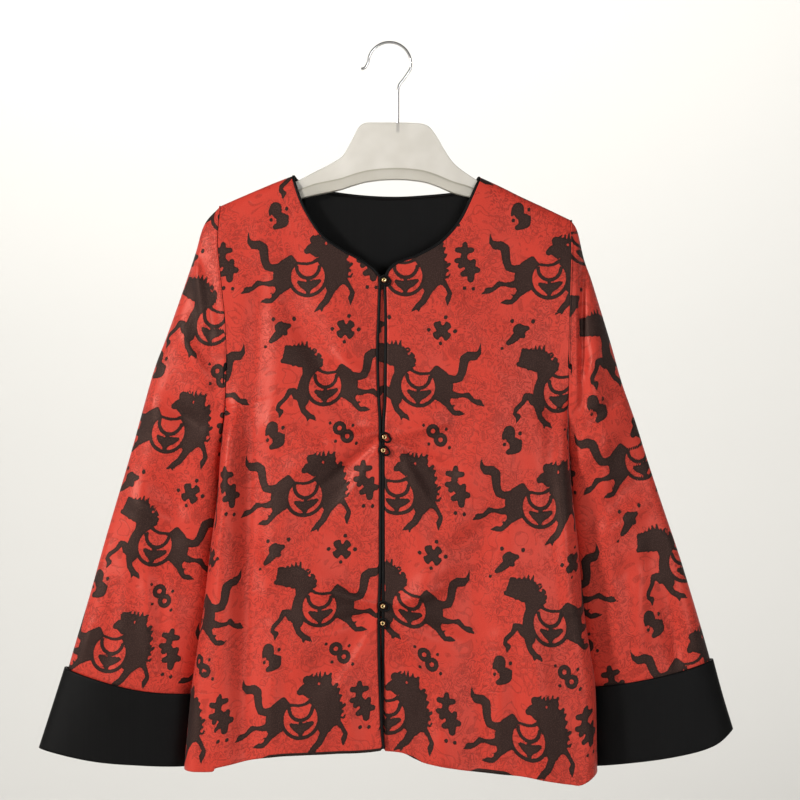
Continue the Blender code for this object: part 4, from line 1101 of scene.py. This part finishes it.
def build_body(looks):
    """The two fronts, the back with its hem turned up, the back's lining and the strip at the closing."""
    brocade, lining = looks["brocade"], looks["lining"]
    shell = (brocade, looks["inside"], brocade)
    made = {}
    for side, word in WORDS.items():
        sheet = front_sheet(side)
        dip = (sheet[0, -1, 2] - sheet[0, :, 2]) * (1 - heights()[:, None]) ** DIP_FADE
        name = "front_" + word
        flat = flat_place(sheet, FRONT_GRAIN[side], still=FRONT_STILL, dip=dip)
        made[name] = cloth(name + "_brocade", sheet, CLOTH, shell, flat=flat, flip=side > 0,
                           marks=hem_marks(sheet, side))
    sheet = back_sheet()
    made["back"] = cloth("back_brocade", sheet, CLOTH, shell, flip=True, marks=hem_marks(sheet, 0),
                         flat=flat_place(sheet, FRONT_GRAIN[-1], turned=-1))
    made["lining_back"] = cloth("back_lining", lining_sheet(), LINING, (lining, lining, lining), flip=True)
    sheet = underlap_sheet()
    made["underlap"] = cloth("closing_strip", sheet, CLOTH, (brocade, brocade, brocade),
                             flat=flat_place(sheet, FRONT_GRAIN[1]))
    for name, piece in made.items():
        put_on(piece, "satin" if name == "lining_back" else "brocade", name)
    return made


def build_sleeves(looks):
    """The two sleeves and their turned back cuffs."""
    made = {}
    for side, word in WORDS.items():
        sheet = sleeve_sheet(side)
        flat = flat_place(np.concatenate([sheet, sheet[:, :1]], axis=1), SLEEVE_GRAIN[side],
                          still=3 * RING // 4)
        sleeve, cuff = "sleeve_" + word, "cuff_" + word
        made[sleeve] = put_on(cloth(sleeve + "_brocade", sheet, CLOTH,
                                    (looks["brocade"], looks["lining"], looks["brocade"]),
                                    flat=flat, ring=True, flip=side < 0), "brocade", sleeve)
        made[cuff] = put_on(cloth(cuff + "_satin", cuff_sheet(side), CUFF_WALL, (looks["satin"],) * 3,
                                  ring=True, flip=side < 0), "satin", cuff)
    return made


def neck_point(side, y):
    """Where a binding ends beside one neck point."""
    x, z = SHOULDER[side][-1]
    return x - side * BIND_END_X, y, z


def build_bindings(look):
    """Round bindings on both fronts' edges and round the back of the neck."""
    lines = {}
    for side, word in WORDS.items():
        sheet = front_sheet(side)
        edge = beside(sheet[:, -1], sheet[:, -2])[:-BIND_SHORT]
        lines["binding_" + word] = [*edge, neck_point(side, -BIND_END_Y)]
    sheet = back_sheet()
    middle = beside(sheet[-1], sheet[PLANE_ROW])[in_neck(back_columns())]
    lines["binding_back"] = [neck_point(-1, BIND_END_Y), *middle, neck_point(1, BIND_END_Y)]
    return {name: put_on(cord(name + "_cord", line, SHOWN_PIPE_R, look), "binding", name)
            for name, line in lines.items()}


def bead_depth(edges, z):
    """Middle of the bindings' depth at a height, taken from whichever lies further forward."""
    return min(np.interp(z, edge[:, 2], edge[:, 1]) for edge in edges) + CLOTH / 2


def build_bead(name, x, y, z, look):
    """A six lobed bead whose hole faces the front."""
    middle = Vector((x, y, z)) * MM
    bpy.ops.object.select_all(action="DESELECT")
    bpy.ops.mesh.primitive_torus_add(major_segments=12, minor_segments=8, major_radius=BEAD_RING * MM,
                                     minor_radius=BEAD_SECTION * MM, location=middle,
                                     rotation=(math.radians(90), 0, 0))
    bead = bpy.context.object
    bead.name = name
    bpy.ops.object.transform_apply(location=True, rotation=True, scale=True)
    bpy.ops.object.mode_set(mode="EDIT")
    bpy.ops.mesh.select_all(action="DESELECT")
    bpy.ops.object.mode_set(mode="OBJECT")
    for vertex in bead.data.vertices:
        angle = math.degrees(math.atan2(vertex.co.z - middle.z, vertex.co.x - middle.x))
        vertex.select = round(angle / 30) % 2 == 0
    bpy.ops.object.mode_set(mode="EDIT")
    bpy.ops.transform.resize(value=(BEAD_WAIST, 1, BEAD_WAIST), center_override=middle)
    bpy.ops.mesh.select_all(action="SELECT")
    bpy.ops.transform.resize(value=(1, BEAD_LONG, 1), center_override=middle)
    bpy.ops.object.mode_set(mode="OBJECT")
    rounded_off(bead, 2)
    bead.data.materials.append(look)
    bead.data.shade_smooth()
    return bead


def build_loop(name, x, y, z, angle, look):
    """A cord loop round a bead, drawn out to a tip on one side."""
    tip = math.radians(angle)
    turn = np.linspace(0, 2 * math.pi, LOOP_POINTS, endpoint=False)
    reach = LOOP_R + (LOOP_TIP - LOOP_R) * np.maximum(0, np.cos(turn - tip)) ** LOOP_POINTED
    points = np.stack([x + reach * np.cos(turn), np.full_like(turn, y), z + reach * np.sin(turn)], axis=-1)
    return cord(name, points, CORD_R, look, closed=True)


def build_closures(looks):
    """Five beads in their loops, down the closing."""
    edges = [front_sheet(side)[:, -1] for side in WORDS]
    for number, (x, z, angle) in enumerate(BEADS, start=1):
        front = bead_depth(edges, z) - PIPE_R - CLEAR
        bead = build_bead(f"bead_{number}_gold", x, front - BEAD_R, z, looks["gold"])
        put_on(bead, "bead", f"bead_{number}")
        loop = build_loop(f"loop_{number}_cord", x, front - CORD_R, z, angle, looks["cord"])
        put_on(loop, "binding", f"loop_{number}")


def hanger_ring(top, bottom, half):
    """Section of the hanger at one x: a plate with rounded top edges on a thicker rim."""
    rim = min(RIM_HEIGHT, 0.45 * (top - bottom))
    wide = min(RIM_HALF, 1.9 * half)
    side = [(0.35 * half, top), (half - 0.9, top - 0.2), (half - 0.15, top - 0.9), (half, top - 2),
            (half, bottom + rim + 1.6), (half + 0.3, bottom + rim + 0.4), (wide - 0.5, bottom + rim - 0.6),
            (wide, bottom + rim - 1.6), (wide, bottom + 1.4), (wide - 0.4, bottom + 0.4),
            (wide - 1.3, bottom)]
    return side + [(-y, z) for y, z in reversed(side)]


def build_hanger(look):
    sheet = np.array([[(x, y, z) for y, z in hanger_ring(top, bottom, half)]
                      for x, top, bottom, half in spline(HANGER, np.linspace(0, 1, HANGER_RINGS))])
    rows, columns = sheet.shape[:2]
    faces = grid_faces(rows, columns, True, True).tolist()
    faces += [tuple(range(columns)), tuple((rows - 1) * columns + c for c in reversed(range(columns)))]
    mesh = grid_mesh("hanger_plastic", sheet, faces)
    hanger = link("hanger_plastic", mesh)
    mesh.materials.append(look)
    # Painted shade along the rim, which the look reads.
    write_attribute(mesh, "rim", "POINT", np.tile(RIM_PAINTED_SHADE + RIM_PAINTED_SHADE[::-1], rows))
    choose(hanger)
    bpy.ops.object.shade_smooth_by_angle(angle=math.radians(35))
    return put_on(hanger, "hanger", "hanger")


def build_hook(look):
    arc = [(HOOK_X + HOOK_R * math.cos(math.radians(angle)),
            WIRE_R - HOOK_R + HOOK_R * math.sin(math.radians(angle))) for angle in range(176, -17, -12)]
    bent = spline(HOOK_TIP + arc + HOOK_BEND, np.linspace(0, 1, 110))
    line = [(x, 0, z) for x, z in [*bent, *((SHANK_X, z) for z in SHANK_Z)]]
    put_on(cord("hook_wire", line, WIRE_R, look), "hook", "hook")


def area_light(name, place, aim, size, power, colour):
    light = bpy.data.lights.new(name, "AREA")
    light.shape = "DISK"
    light.size = size
    light.energy = power
    light.color = colour
    lamp = link(name, light)
    lamp.location = place
    lamp.rotation_euler = (Vector(aim) - Vector(place)).to_track_quat("-Z", "Y").to_euler()


def build_studio(look):
    """A pale bowl round the jacket, soft light from the upper left and the camera."""
    mesh = bpy.data.meshes.new("backdrop")
    mesh.from_pydata([(x, 0, FLOOR_Z + rise) for x, rise in BOWL],
                     [(k, k + 1) for k in range(len(BOWL) - 1)], [])
    bowl = link("backdrop", mesh)
    turned = bowl.modifiers.new("turn", "SCREW")
    turned.steps = turned.render_steps = 72
    turned.use_merge_vertices = True
    turned.use_normal_flip = True
    rounded_off(bowl, 1)
    bowl.data.materials.append(look)
    bowl.data.shade_smooth()
    world = bpy.data.worlds.new("studio")
    bpy.context.scene.world = world
    world.use_nodes = True
    sky = world.node_tree.nodes["Background"].inputs
    sky["Color"].default_value = (1.0, 0.985, 0.96, 1)
    sky["Strength"].default_value = WORLD_LIGHT
    for row in LIGHTS:
        area_light(*row)
    bpy.context.scene.view_settings.view_transform = "Standard"
    camera = link("camera", bpy.data.cameras.new("camera"))
    camera.data.sensor_width = SENSOR
    camera.data.lens = SENSOR * CAMERA_AWAY / FRAME_WIDTH
    camera.data.clip_end = 20
    camera.location = (AIM[0], -CAMERA_AWAY, AIM[2])
    camera.rotation_euler = (math.radians(90), 0, 0)
    bpy.context.scene.camera = camera


def main():
    looks = {"brocade": brocade_look(), "inside": inside_look(), "gold": gold_look(),
             "lining": satin_look("lining_satin", 0.0025, 0.55),
             "satin": satin_look("cuff_satin", 0.0025, 0.55), "cord": satin_look("binding_cord", 0.004, 0.5)}
    body = build_body(looks)
    sleeves = build_sleeves(looks)
    bindings = build_bindings(looks["cord"])
    build_closures(looks)
    hanger = build_hanger(plastic_look())
    build_hook(wire_look())
    build_studio(stage_look())


main()
bpy.context.view_layer.update()
